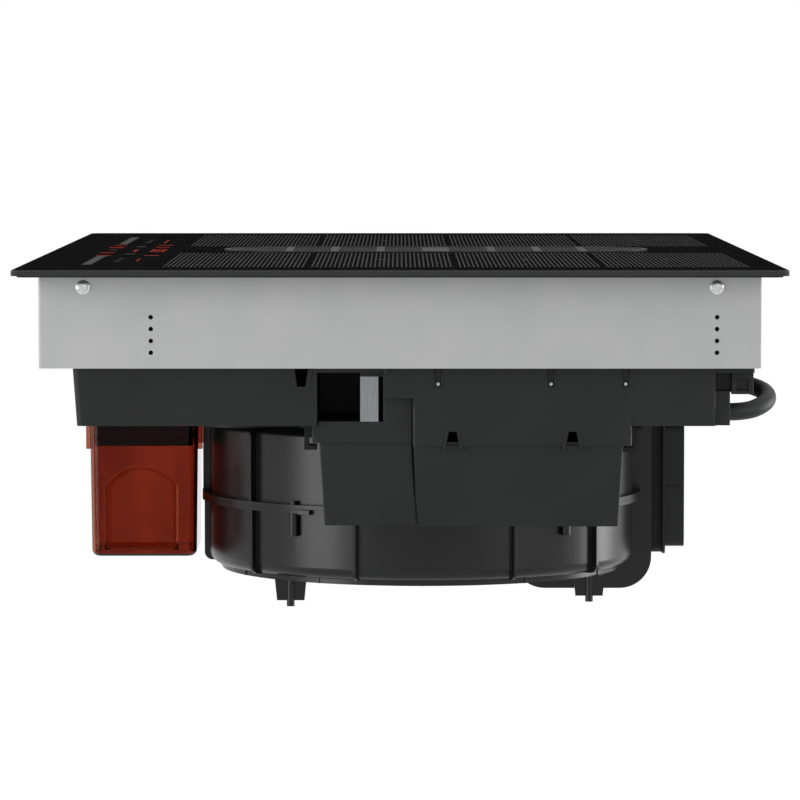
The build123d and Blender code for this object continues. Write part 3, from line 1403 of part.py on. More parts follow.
for name, side in (("left", -1), ("right", 1)):
    with BuildPart() as mica_sheet:
        x_far = side * zone_outer_x
        x_near = side * zone_inner_x
        block((min(x_far, x_near), max(x_far, x_near), zone_front, zone_rear),
              mica_bottom, glass_bottom, 3.0)
    save(mica_sheet, f"mica_sheet_{name}")

    with BuildPart() as coils:
        with BuildSketch(Plane.XY.offset(coil_bottom)):
            with Locations((side * zone_x, zone_y)):
                with GridLocations(1, zone_pitch, 1, zone_count):
                    SlotOverall(coil_length - 4, coil_width - 4)
                    SlotOverall(coil_length - 4 - 2 * coil_band, coil_width - 4 - 2 * coil_band,
                                mode=Mode.SUBTRACT)
        extrude(amount=coil_thickness)
    save(coils, f"induction_coils_{name}")

    with BuildPart() as formers:
        with BuildSketch(Plane.XY.offset(former_bottom)):
            with Locations((side * zone_x, zone_y)):
                with GridLocations(1, zone_pitch, 1, zone_count):
                    SlotOverall(coil_length, coil_width)
        extrude(amount=former_thickness)
    save(formers, f"coil_formers_{name}")

    with BuildPart() as ferrites:
        with BuildSketch(Plane.XY.offset(ferrite_bottom)):
            with Locations((side * zone_x, zone_y)):
                with GridLocations((coil_length - 80) / (ferrite_count - 1), zone_pitch,
                                   ferrite_count, zone_count):
                    Rectangle(ferrite_width, coil_width - 10)
        extrude(amount=ferrite_thickness)
    save(ferrites, f"ferrite_bars_{name}")

    with BuildPart() as carrier:
        # a folded sheet: table, inner leg to the tray and outer web on the casing wall
        low_x = min(side * carrier_inner_x, side * inside_half_width)
        high_x = max(side * carrier_inner_x, side * inside_half_width)
        block((low_x, high_x, zone_front - 4, carrier_rear), carrier_bottom,
              ferrite_bottom)
        inner_x = side * (carrier_inner_x + carrier_thickness / 2)
        block((inner_x - carrier_thickness / 2, inner_x + carrier_thickness / 2,
               zone_front - 4, tray_rear - 2 * tray_wall), tray_floor, ferrite_bottom, 0.4)
        web_x = side * (inside_half_width - carrier_thickness / 2)
        block((web_x - carrier_thickness / 2, web_x + carrier_thickness / 2, carrier_front,
               carrier_rear), casing_bottom + steel, glass_bottom - steel - fit, 0.4)
        with BuildSketch(Plane.YZ.offset(web_x - 2)):
            with Locations(*case_screw_places):
                Circle(case_screw_radius + fit / 2)
            with Locations(*side_hole_places):
                Circle(side_hole_radius + fit / 2)
        extrude(amount=4, mode=Mode.SUBTRACT)
    save(carrier, f"coil_carrier_{name}")

    with BuildPart() as board:
        x_mid = side * board_x
        block((x_mid - board_width / 2, x_mid + board_width / 2, board_y - board_length / 2,
               board_y + board_length / 2), board_z, board_face, 2.0)
        # filter capacitors and a choke along the outer edge
        with BuildSketch(Plane.XY.offset(board_face)):
            with Locations((x_mid + side * (board_width / 2 - board_can_width), board_y)):
                with GridLocations(1, board_can_pitch, 1, board_can_count):
                    Rectangle(board_can_width, board_can_depth)
        extrude(amount=board_can_height)
    save(board, f"power_board_{name}")

    with BuildPart() as heatsink:
        sink_x = side * (board_x - 28)
        with BuildSketch(Plane.XZ.offset(-board_y - heatsink_length / 2)):
            with Locations((sink_x, board_face + heatsink_base / 2)):
                Rectangle(heatsink_width, heatsink_base)
            with Locations((sink_x, board_face + heatsink_base + heatsink_fin_height / 2)):
                with GridLocations((heatsink_width - heatsink_fin_thickness)
                                   / (heatsink_fin_count - 1), 1, heatsink_fin_count, 1):
                    Rectangle(heatsink_fin_thickness, heatsink_fin_height)
        extrude(amount=heatsink_length)
    save(heatsink, f"heatsink_{name}")

    fan_at = (side * fan_x, fan_y)
    with BuildPart() as fan_housing:
        with BuildSketch(Plane.XY.offset(fan_spot_z)):
            with Locations(fan_at):
                RectangleRounded(fan_size, fan_size, 5)
                Circle(fan_bore_radius, mode=Mode.SUBTRACT)
        extrude(amount=fan_height)
        with BuildSketch(Plane.XY.offset(fan_spot_z)):
            with Locations(fan_at):
                Circle(fan_hub_radius - 2)
                with PolarLocations(0, 4):
                    with Locations(((fan_bore_radius + 1) / 2, 0)):
                        Rectangle(fan_bore_radius + 1, 4)
        extrude(amount=hub_plate)
        with BuildSketch(Plane.XY.offset(fan_spot_z)):
            with Locations(fan_at):
                Circle(fan_pin_radius)
        extrude(amount=fan_height - 5)
    save(fan_housing, f"fan_housing_{name}")

    with BuildPart() as fan_rotor:
        rotor_low = fan_spot_z + hub_plate + 0.8
        rotor_high = fan_spot_z + fan_height - 1
        with BuildSketch(Plane.XY.offset(rotor_low)):
            with Locations(fan_at):
                Circle(fan_hub_radius)
        extrude(amount=rotor_high - rotor_low)
        with BuildSketch(Plane.XY.offset(rotor_low)):
            with Locations(fan_at):
                Circle(fan_pin_radius + running_clearance)
        extrude(amount=fan_height - 5 - hub_plate, mode=Mode.SUBTRACT)
        blade_span = fan_bore_radius - fan_blade_gap - fan_hub_radius + 2
        blade_mid = fan_hub_radius - 2 + blade_span / 2
        with Locations((*fan_at, (rotor_low + rotor_high) / 2)):
            with PolarLocations(blade_mid, fan_blade_count):
                Box(blade_span, fan_blade_thickness, 22, rotation=(fan_blade_pitch + 15, 0, 0))
    save(fan_rotor, f"fan_rotor_{name}")

# ---------------------------------------------------------------------------
# Mains lead between two glands on the tray's rear wall
# ---------------------------------------------------------------------------

lead_side = (lead_near_x - lead_far_x) / 2
lead_corner = lead_side * tan(radians(22.5))
lead_drop = lead_far_z - lead_near_z
lead_route = [
    (lead_near_x, tray_rear - tray_wall - lead_tail, lead_near_z),
    (lead_near_x, lead_reach - lead_side + lead_corner, lead_near_z - lead_sag),
    (lead_near_x - lead_side + lead_corner, lead_reach, lead_near_z + 0.26 * lead_drop),
    (lead_far_x + lead_side - lead_corner, lead_reach, lead_near_z + 0.66 * lead_drop),
    (lead_far_x, lead_reach - lead_side + lead_corner, lead_near_z + 0.92 * lead_drop),
    (lead_far_x, tray_rear - tray_wall - lead_tail, lead_far_z),
]


def bend_radii(points):
    """The largest arc at each corner that its two runs allow."""
    radii = []
    for before, here, after in zip(points, points[1:], points[2:]):
        run_in = Vector(*here) - Vector(*before)
        run_out = Vector(*after) - Vector(*here)
        half_turn = radians(run_in.get_angle(run_out) / 2)
        radii.append(0.45 * min(run_in.length, run_out.length) / tan(half_turn))
    return radii


lead_radii = bend_radii(lead_route)
print("lead bends, mm:", [round(radius, 1) for radius in lead_radii])
with BuildPart() as supply_lead:
    with BuildLine() as lead_path:
        FilletPolyline(*lead_route, radius=lead_radii)
    start_dir = Vector(*lead_route[1]) - Vector(*lead_route[0])
    with BuildSketch(Plane(origin=lead_route[0], z_dir=start_dir)):
        Circle(lead_radius)
    sweep()
print("lead length, mm:", round(lead_path.wires()[0].length, 1))
save(supply_lead, "supply_lead")

with BuildPart() as cable_glands:
    for x, z in ((lead_near_x, lead_near_z), (lead_far_x, lead_far_z)):
        with BuildSketch(Plane(origin=(x, tray_rear, z), z_dir=(0, 1, 0))):
            Circle(gland_radius)
            Circle(lead_radius + 1.2, mode=Mode.SUBTRACT)
        extrude(amount=gland_length)
save(cable_glands, "cable_glands")
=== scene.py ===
# %% [markdown]
# # A downdraft induction cooktop, dressed for its portrait
#
# The hob hangs in a worktop, so the photograph shows what nobody sees at home: black
# glass above, a zinc-coated casing, and a moulded tray, blower and tank underneath.
# The frame already holds every piece at its real size.  This script gives each one its
# finish, adds what is too fine for the frame, such as the print on the glass, and sets
# up the studio.

# %% Load the frame
import math

import bmesh
import bpy
from mathutils import Matrix, Vector


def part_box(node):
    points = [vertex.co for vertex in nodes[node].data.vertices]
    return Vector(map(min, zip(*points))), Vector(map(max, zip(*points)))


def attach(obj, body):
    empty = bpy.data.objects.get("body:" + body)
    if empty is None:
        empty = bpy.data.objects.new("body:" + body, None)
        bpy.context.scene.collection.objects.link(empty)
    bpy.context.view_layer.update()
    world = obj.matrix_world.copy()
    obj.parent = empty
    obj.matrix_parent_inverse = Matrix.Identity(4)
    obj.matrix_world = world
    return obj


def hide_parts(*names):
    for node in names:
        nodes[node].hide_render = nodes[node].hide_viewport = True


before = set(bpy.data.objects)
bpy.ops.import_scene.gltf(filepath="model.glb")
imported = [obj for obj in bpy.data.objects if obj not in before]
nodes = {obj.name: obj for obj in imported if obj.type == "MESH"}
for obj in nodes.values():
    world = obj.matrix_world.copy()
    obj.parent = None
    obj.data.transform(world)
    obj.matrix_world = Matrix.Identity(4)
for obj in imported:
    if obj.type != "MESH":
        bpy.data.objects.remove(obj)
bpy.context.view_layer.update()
MM = 0.001

# %% [markdown]
# ## Small tools
#
# Colours are picked as sRGB hex values, as on a paint card, and Blender's shaders want
# linear light, so one function turns one into the other.  Others add a node with its
# settings and links, start a material with its one Principled shader, and turn a real
# size in millimetres into the scale of a pattern.

# %% Colours


def linear(hex_colour):
    """An sRGB hex colour, such as '#B4B5B6', as linear RGBA."""
    channels = [int(hex_colour[i:i + 2], 16) / 255 for i in (1, 3, 5)]
    return (*[c / 12.92 if c <= 0.04045 else ((c + 0.055) / 1.055) ** 2.4
              for c in channels], 1.0)


print("paint-card grey #808080 is", round(linear("#808080")[0], 3), "in linear light")

# %% Nodes and materials


def put(tree, kind, inputs=None, **settings):
    """Add a node: settings are its own, inputs are values or other nodes' sockets."""
    made = tree.nodes.new(kind)
    for name, value in settings.items():
        setattr(made, name, value)
    for name, value in (inputs or {}).items():
        if isinstance(value, bpy.types.NodeSocket):
            tree.links.new(value, made.inputs[name])
        else:
            made.inputs[name].default_value = value
    return made


def finish_of(name, **shader_inputs):
    """A new material; returns it with its tree and its Principled shader."""
    made = bpy.data.materials.new(name)
    made.use_nodes = True
    tree = made.node_tree
    shader = tree.nodes["Principled BSDF"]
    for key, value in shader_inputs.items():
        shader.inputs[key.replace("_", " ")].default_value = value
    return made, tree, shader


# %% Where a pattern lies, and how large it is


def every(size_mm):
    """The scale at which a pattern repeats about every so many millimetres."""
    return 1 / (size_mm * MM)


def where(tree):
    """Object coordinates: metres in the hob's own frame."""
    return put(tree, "ShaderNodeTexCoord").outputs["Object"]


def stretched(tree, scale):
    """Those coordinates scaled by axis, for streaks and brushing."""
    return put(tree, "ShaderNodeMapping", {"Vector": where(tree), "Scale": scale}).outputs["Vector"]


print("a pattern every 2 mm has a scale of", round(every(2)))

# %% Tones and relief
NOISE_LOW, NOISE_HIGH = 0.3, 0.7      # nearly all values of a noise lie between these


def two_tones(tree, shader, factor, dark, light):
    """Let a 0 to 1 factor run the base colour between two tones."""
    ramp = put(tree, "ShaderNodeValToRGB", {"Fac": factor})
    ramp.color_ramp.elements[0].color = linear(dark)
    ramp.color_ramp.elements[1].color = linear(light)
    ramp.color_ramp.elements[0].position = NOISE_LOW
    ramp.color_ramp.elements[1].position = NOISE_HIGH
    tree.links.new(ramp.outputs["Color"], shader.inputs["Base Color"])


def raised(tree, shader, height, depth_mm, under=None):
    """Bump of a stated depth, laid over another normal where there is one."""
    inputs = {"Height": height, "Distance": depth_mm * MM, "Strength": 1.0}
    if under is not None:
        inputs["Normal"] = under
    bump = put(tree, "ShaderNodeBump", inputs)
    tree.links.new(bump.outputs["Normal"], shader.inputs["Normal"])


# %% [markdown]
# ## Glass ceramic
#
# The top is a 4 mm sheet of black glass ceramic.  It is coloured through, so nothing
# below shows, and it is rolled and polished, which leaves a very faint long wave in it.
# Typical glass has an IOR of 1.5.  Its edge is ground, so the edge is greyer and duller
# than the face.  The face's normal tells the two apart.

# %% Black glass ceramic
FACE_ROUGHNESS, EDGE_ROUGHNESS = 0.06, 0.42
WAVE_MM, WAVE_DEPTH_MM = 60.0, 0.004
UPWARDS = 0.9            # a normal's least Z on the face
glass_ceramic, tree, shader = finish_of("black_glass_ceramic", Roughness=FACE_ROUGHNESS, IOR=1.5)
face_up = put(tree, "ShaderNodeSeparateXYZ",
              {"Vector": put(tree, "ShaderNodeNewGeometry").outputs["Normal"]}).outputs["Z"]
is_face = put(tree, "ShaderNodeMath", {0: face_up, 1: UPWARDS}, operation="GREATER_THAN").outputs[0]
tone = put(tree, "ShaderNodeMix", {"Factor": is_face}, data_type="RGBA")
tone.inputs["A"].default_value = linear("#181919")
tone.inputs["B"].default_value = linear("#060607")
tree.links.new(tone.outputs["Result"], shader.inputs["Base Color"])
dull = put(tree, "ShaderNodeMapRange", {"Value": is_face, "To Min": EDGE_ROUGHNESS,
                                       "To Max": FACE_ROUGHNESS})
tree.links.new(dull.outputs[0], shader.inputs["Roughness"])
wave = put(tree, "ShaderNodeTexNoise", {"Vector": where(tree), "Scale": every(WAVE_MM),
                                        "Detail": 0.0})
raised(tree, shader, wave.outputs["Fac"], WAVE_DEPTH_MM)
print("glass waves:", WAVE_MM, "mm long,", WAVE_DEPTH_MM, "mm deep")

# %% [markdown]
# ## Zinc-coated sheet and other steels
#
# The casing is folded from 1.2 mm steel that was dipped in zinc and skin-passed.  The
# rolling leaves very fine lines along the sheet, and the zinc a soft cloudiness.  It is
# a metal, but a dull one: the eye sees a light grey that hardly mirrors anything, so it is
# only partly metallic here.  Case screws and motor are bright plated, the other screws are
# blackened, and strap and clips are brushed stainless strip.

# %% Sheet steel
zinc_sheet, tree, shader = finish_of("zinc_coated_sheet", Metallic=0.3, Roughness=0.62,
                                     Specular_IOR_Level=0.2)
cloud = put(tree, "ShaderNodeTexNoise", {"Vector": where(tree), "Scale": every(35),
                                         "Detail": 3.0, "Roughness": 0.6})
two_tones(tree, shader, cloud.outputs["Fac"], "#A9AAAA", "#AFAFAF")
ROLL_LINE_MM = 0.6   # coarser than the real 0.1 mm, so that it shows
rolling = put(tree, "ShaderNodeTexNoise",
              {"Vector": stretched(tree, (0.02, 0.02, 1.0)), "Scale": every(ROLL_LINE_MM),
               "Detail": 2.0})
raised(tree, shader, rolling.outputs["Fac"], depth_mm=0.012)
print("sheet:", zinc_sheet.name, "with rolling lines", ROLL_LINE_MM, "mm apart")

# %% Steels of screws, strap and motor
bright_steel, tree, shader = finish_of("bright_zinc_plated_steel", Metallic=1.0, Roughness=0.24)
plating = put(tree, "ShaderNodeTexNoise", {"Vector": where(tree), "Scale": every(1.5)})
two_tones(tree, shader, plating.outputs["Fac"], "#B9BABA", "#D8D9D9")

black_steel, tree, shader = finish_of("blackened_steel", Metallic=0.3, Roughness=0.45)
oiled = put(tree, "ShaderNodeTexNoise", {"Vector": where(tree), "Scale": every(0.8)})
two_tones(tree, shader, oiled.outputs["Fac"], "#1C1C1C", "#282828")

brushed_steel, tree, shader = finish_of("brushed_stainless_strip", Metallic=1.0, Roughness=0.32,
                                        Anisotropic=0.5)
brushing = put(tree, "ShaderNodeTexNoise", {"Vector": stretched(tree, (1.0, 1.0, 0.03)),
                                            "Scale": every(0.35), "Detail": 4.0})
two_tones(tree, shader, brushing.outputs["Fac"], "#77787A", "#8C8D8E")
raised(tree, shader, brushing.outputs["Fac"], depth_mm=0.002)
print("steels:", [steel.name for steel in (bright_steel, black_steel, brushed_steel)])

# %% [markdown]
# ## Moulded polypropylene
#
# Tray, covers, blower and duct are injection moulded in near-black, talc-filled
# polypropylene.  The mould is spark eroded, which leaves a fine grain, and the flow of
# the melt leaves slow changes of tone.  Real mouldings have no sharp edge, and a thin
# line of light runs along each, so a bevel of 0.4 mm is added to the shading normal.  The
# gloss is set below the usual 0.5, because the white studio would turn the black grey.
# Fans are a harder, glass-filled polyamide, and the pale inner parts are left uncoloured.

# %% Plastics
GRAIN_MM, GRAIN_DEPTH_MM, EDGE_MM, FLOW_MM = 0.45, 0.012, 0.4, 70.0


def moulded(name, dark, light, roughness, gloss=0.26):
    """A grained moulding in one of the hob's plastics."""
    made, tree, shader = finish_of(name, Roughness=roughness, IOR=1.49,
                                   Specular_IOR_Level=gloss)
    flow = put(tree, "ShaderNodeTexNoise", {"Vector": where(tree), "Scale": every(FLOW_MM),
                                            "Detail": 2.0})
    two_tones(tree, shader, flow.outputs["Fac"], dark, light)
    grain = put(tree, "ShaderNodeTexNoise", {"Vector": where(tree),
                                             "Scale": every(GRAIN_MM), "Detail": 2.0})
    edge = put(tree, "ShaderNodeBevel", {"Radius": EDGE_MM * MM}, samples=4)
    raised(tree, shader, grain.outputs["Fac"], GRAIN_DEPTH_MM,
           under=edge.outputs["Normal"])
    return made


tray_plastic = moulded("moulded_polypropylene", "#141515", "#1A1B1B", 0.48)
blower_plastic = moulded("blower_polypropylene", "#0C0C0C", "#101111", 0.29, gloss=0.3)
fan_plastic = moulded("glass_filled_polyamide", "#1C1D1D", "#262626", 0.5)
pale_plastic = moulded("natural_polyamide", "#BDBBB3", "#CBC9C0", 0.45)
print("plastics:", [plastic.name for plastic in (tray_plastic, blower_plastic, fan_plastic,
                                                 pale_plastic)])

# %% [markdown]
# ## Clear amber tank
#
# The overflow tank is moulded in tinted, see-through styrene acrylonitrile, so that the
# level can be seen from outside.  It is a glossy, clear plastic with an IOR of 1.57.
# Each face that the light crosses tints it, so a pale tint per face comes out brown behind
# two walls.  The grey specular tint holds its mirror back: all white round it, the tank
# would look milky.

# %% Amber plastic
amber, tree, shader = finish_of("amber_styrene_acrylonitrile", Roughness=0.03, IOR=1.57,
                                Transmission_Weight=1.0, Specular_Tint=linear("#5C5C5C"))
streak = put(tree, "ShaderNodeTexNoise", {"Vector": stretched(tree, (1.0, 1.0, 0.25)),
                                          "Scale": every(30)})
two_tones(tree, shader, streak.outputs["Fac"], "#98503A", "#B2664A")
raised(tree, shader, streak.outputs["Fac"], depth_mm=0.05)
print("tank:", amber.name)

# %% [markdown]
# ## Enamel, rubber and foam
#
# The grille and its trim are steel under a satin black enamel, whose skin is faintly
# wavy and holds a soft light.  The lead has an extruded rubber sheath, which is matt and
# a little uneven.  The seal under the glass is closed-cell foam, and the tank's seal and
# the motor's dampers are silicone.

# %% Enamel and lead rubber
vent_enamel, tree, shader = finish_of("satin_black_enamel", Roughness=0.42, IOR=1.5,
                                      Specular_IOR_Level=0.14)
orange_peel = put(tree, "ShaderNodeTexNoise", {"Vector": where(tree), "Scale": every(1.2)})
two_tones(tree, shader, orange_peel.outputs["Fac"], "#191A1A", "#1E1F1F")
edge = put(tree, "ShaderNodeBevel", {"Radius": 0.3 * MM}, samples=4)
raised(tree, shader, orange_peel.outputs["Fac"], depth_mm=0.006, under=edge.outputs["Normal"])

lead_rubber, tree, shader = finish_of("extruded_rubber", Roughness=0.5, IOR=1.52,
                                      Specular_IOR_Level=0.25)
skin = put(tree, "ShaderNodeTexNoise", {"Vector": where(tree), "Scale": every(0.8),
                                        "Detail": 3.0})
two_tones(tree, shader, skin.outputs["Fac"], "#1A1B1B", "#202121")
raised(tree, shader, skin.outputs["Fac"], depth_mm=0.02)
print("coverings:", [cover.name for cover in (vent_enamel, lead_rubber)])

# %% Seals
foam, tree, shader = finish_of("closed_cell_foam", Roughness=0.9)
cells = put(tree, "ShaderNodeTexVoronoi", {"Vector": where(tree), "Scale": every(0.9)})
two_tones(tree, shader, cells.outputs["Distance"], "#101010", "#242424")
raised(tree, shader, cells.outputs["Distance"], depth_mm=0.1)

soft_rubber, tree, shader = finish_of("moulded_silicone", Roughness=0.6)
bloom = put(tree, "ShaderNodeTexNoise", {"Vector": where(tree), "Scale": every(4)})
two_tones(tree, shader, bloom.outputs["Fac"], "#191919", "#232323")
print("seals:", [seal.name for seal in (foam, soft_rubber)])

# %% [markdown]
# ## What sits inside
#
# Little of it shows, and only through gaps such as the grille's, but whoever takes the
# part to pieces sees it all: pressed stainless filter, copper litz, ferrite, mica,
# circuit boards and die-cast aluminium.

# %% Metals inside
filter_steel, tree, shader = finish_of("pressed_stainless", Metallic=1.0, Roughness=0.3)
satin = put(tree, "ShaderNodeTexNoise", {"Vector": stretched(tree, (1.0, 0.05, 1.0)),
                                         "Scale": every(0.5)})
two_tones(tree, shader, satin.outputs["Fac"], "#8F9091", "#A9AAAB")

filter_mesh, tree, shader = finish_of("expanded_metal_mesh", Metallic=1.0, Roughness=0.45)
diamonds = put(tree, "ShaderNodeTexVoronoi", {"Vector": where(tree), "Scale": every(2.2)})
two_tones(tree, shader, diamonds.outputs["Distance"], "#2E2E2E", "#A2A3A4")
raised(tree, shader, diamonds.outputs["Distance"], depth_mm=0.3)

cast_aluminium, tree, shader = finish_of("die_cast_aluminium", Metallic=1.0, Roughness=0.5)
pits = put(tree, "ShaderNodeTexNoise", {"Vector": where(tree), "Scale": every(0.7)})
two_tones(tree, shader, pits.outputs["Fac"], "#9A9B9C", "#B2B3B4")
raised(tree, shader, pits.outputs["Fac"], depth_mm=0.02)
print("metals inside:", [metal.name for metal in (filter_steel, filter_mesh, cast_aluminium)])

# %% Boards, coils and their sheets
circuit_board, tree, shader = finish_of("lacquered_laminate", Roughness=0.35)
tracks = put(tree, "ShaderNodeTexBrick", {"Vector": where(tree), "Scale": every(6)})
two_tones(tree, shader, tracks.outputs["Fac"], "#10301F", "#1C4A30")

copper_litz, tree, shader = finish_of("enamelled_copper_litz", Metallic=1.0, Roughness=0.4)
strands = put(tree, "ShaderNodeTexWave", {"Vector": where(tree), "Scale": every(3),
                                          "Distortion": 2.0})
two_tones(tree, shader, strands.outputs["Fac"], "#7A3F22", "#B8683A")

ferrite, tree, shader = finish_of("sintered_ferrite", Roughness=0.55)
sinter = put(tree, "ShaderNodeTexNoise", {"Vector": where(tree), "Scale": every(1.0)})
two_tones(tree, shader, sinter.outputs["Fac"], "#2A2A2B", "#3A3A3B")

mica, tree, shader = finish_of("laid_mica_sheet", Roughness=0.4)
flakes = put(tree, "ShaderNodeTexVoronoi", {"Vector": where(tree), "Scale": every(6)})
two_tones(tree, shader, flakes.outputs["Distance"], "#B5AF97", "#D3CDB8")
print("boards and coils:", [inner.name for inner in (circuit_board, copper_litz, ferrite, mica)])

# %% [markdown]
# ## Dressing the frame
#
# Nearly all shapes in the frame are right as they are, so they stay and only get their
# finish.  Each is named here once, material by material, as on a maker's parts list.

# %% Dress the CAD nodes
dressed = []


def dress(material, *names):
    """Give CAD nodes their finish."""
    for name in names:
        data = nodes[name].data
        data.materials.clear()
        data.materials.append(material)
        dressed.append(name)


def both(*stems):
    """Left and right names of paired nodes."""
    return [f"{stem}_{side}" for stem in stems for side in ("left", "right")]


dress(glass_ceramic, "glass_top")
dress(foam, "seal_strip")
dress(zinc_sheet, "casing", "panel_bracket")
dress(bright_steel, "motor_bearings", "motor_shaft", "rotor_cup", "motor_stator")
dress(black_steel, "shell_screws", "tray_screws")
dress(brushed_steel, "strap_bracket", "worktop_clips")
dress(tray_plastic, "base_tray", "terminal_box", "terminal_cover", "electronics_cover",
      "sump", "tank_socket", "intake_shaft", "outlet_collar", "cable_glands")
dress(blower_plastic, "blower_upper_shell", "blower_lower_shell", "blower_feet", "scroll_wall")
dress(fan_plastic, "impeller", *both("fan_housing", "fan_rotor"))
dress(pale_plastic, "terminal_block", "light_frame", "temperature_sensors",
      *both("coil_formers"))
dress(amber, "overflow_tank")
dress(vent_enamel, "vent_frame", "grille")
dress(filter_steel, "filter_cassette", "filter_rim")
dress(filter_mesh, "filter_meshes")
dress(soft_rubber, "tank_seal", "motor_dampers")
dress(cast_aluminium, "motor_mount", *both("coil_carrier", "heatsink"))
dress(circuit_board, "supply_board", "touch_board", *both("power_board"))
dress(copper_litz, *both("induction_coils"))
dress(ferrite, *both("ferrite_bars"))
dress(mica, *both("mica_sheet"))
print("dressed:", len(dressed), "of", len(nodes), "nodes, and",
      [name for name in nodes if name not in dressed], "are replaced below")

# %% [markdown]
# ## Print on the glass
#
# The zones and symbols are fired onto the glass as ceramic ink, a few hundredths of a
# millimetre thick.  They could be painted in the glass's material, but at this low
# angle a crisp edge matters more than anything, so each mark is its own thin plate
# lying on the glass.  One function makes a piece of many such plates.  The ink is matt, and
# its gloss is nearly off, because any gloss turns white at so low an angle.

# %% Plates
INK_MM = 0.06
glass_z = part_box("glass_top")[1].z


def plates(name, material, rectangles, body="cooktop"):
    """Thin closed plates on the glass: x and y of two corners each, in millimetres."""
    mesh = bmesh.new()
    for x0, x1, y0, y1 in rectangles:
        place = (Matrix.Translation(((x0 + x1) / 2 * MM, (y0 + y1) / 2 * MM,
                                     glass_z + INK_MM * MM / 2))
                 @ Matrix.Diagonal(((x1 - x0) * MM, (y1 - y0) * MM, INK_MM * MM, 1)))
        bmesh.ops.create_cube(mesh, size=1.0, matrix=place)
    data = bpy.data.meshes.new(name)
    mesh.to_mesh(data)
    mesh.free()
    data.materials.append(material)
    piece = bpy.data.objects.new(name, data)
    bpy.context.scene.collection.objects.link(piece)
    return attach(piece, body)


def about(x, y, reach_x, reach_y):
    """The rectangle that reaches so far each way from its middle."""
    return (x - reach_x, x + reach_x, y - reach_y, y + reach_y)


def ink(name, dark, light, glow=0.0):
    """Fired ceramic ink, or the light of a display where it glows."""
    made, tree, shader = finish_of(name, Roughness=0.7, Specular_IOR_Level=0.08)
    speck = put(tree, "ShaderNodeTexNoise", {"Vector": where(tree), "Scale": every(0.5)})
    two_tones(tree, shader, speck.outputs["Fac"], dark, light)
    if glow:
        shader.inputs["Emission Color"].default_value = linear(light)
        shader.inputs["Emission Strength"].default_value = glow
    return made


zone_ink = ink("fired_grey_ink", "#1F1F1F", "#262626")
symbol_ink = ink("fired_light_ink", "#2E2E2E", "#383838")
display_red = ink("red_display_light", "#7C2014", "#922616", glow=0.35)
print("plates are", INK_MM, "mm thick and lie at z =", round(glass_z / MM, 2), "mm")

# %% [markdown]
# Each cooking zone is a block of fine stripes that run from side to side, 3 mm apart,
# four blocks on each side of the vent, with a small cross at each middle.

# %% Cooking zones
ZONE_INNER, ZONE_OUTER = 72.0, 346.0
ZONE_FRONT, ZONE_REAR = -164.5, 240.5
ZONES = 4
STRIPES, STRIPE_WIDTH = 32, 1.0
GAP_STEPS = 2.1          # from the last stripe of a zone to the first of the next
CROSS_X, CROSS_ARM, CROSS_HALF_BAR = 205.0, 5.0, 1.2
zone_step = (ZONE_REAR - ZONE_FRONT) / ZONES
stripe_step = zone_step / (STRIPES - 1 + GAP_STEPS)
stripes, crosses = [], []
for side in (-1, 1):
    ends = sorted((side * ZONE_INNER, side * ZONE_OUTER))
    for zone in range(ZONES):
        start = ZONE_FRONT + zone * zone_step
        for line in range(STRIPES):
            y = start + (line + GAP_STEPS / 2) * stripe_step
            stripes.append((*ends, y - STRIPE_WIDTH / 2, y + STRIPE_WIDTH / 2))
        middle_x, middle_y = side * CROSS_X, start + zone_step / 2
        crosses.append(about(middle_x, middle_y, CROSS_ARM, CROSS_HALF_BAR))
        crosses.append(about(middle_x, middle_y, CROSS_HALF_BAR, CROSS_ARM))
plates("zone_stripes", zone_ink, stripes)
plates("zone_crosses", symbol_ink, crosses)
print("stripes:", len(stripes), "at", round(stripe_step, 2), "mm")

# %% [markdown]
# The touch panel lies along the user's edge: one long slider, broken by its level
# display, and a row of small figures behind it.  Figures are made of seven bars, as real
# displays are.

# %% Touch panel
SEGMENTS = {"top": (0, 1, 1, 1), "mid": (0, 1, 0.5, 0.5), "low": (0, 1, 0, 0),
            "up_left": (0, 0, 0.5, 1), "up_right": (1, 1, 0.5, 1),
            "low_left": (0, 0, 0, 0.5), "low_right": (1, 1, 0, 0.5)}
FIGURES = {"0": "top low up_left up_right low_left low_right", "1": "up_right low_right",
           "5": "top mid low up_left low_right", "9": "top mid low up_left up_right low_right"}


def figure(digit, x, y, width, height, bar):
    """The bars of one seven-bar figure whose lower left corner is at x, y."""
    bars = []
    for segment in FIGURES[digit].split():
        x0, x1, y0, y1 = SEGMENTS[segment]
        bars.append((x + x0 * width - bar / 2, x + x1 * width + bar / 2,
                     y + y0 * height - bar / 2, y + y1 * height + bar / 2))
    return bars


def dashes(count, first_x, step, width, y0, y1):
    """A row of equal dashes."""
    return [(first_x + step * n, first_x + step * n + width, y0, y1) for n in range(count)]


SLIDERS, SLIDER_ROW = [(136, 300), (-286, -118)], (-220.0, -213.6)
plates("slider_bars", symbol_ink, [(*ends, *SLIDER_ROW) for ends in SLIDERS])
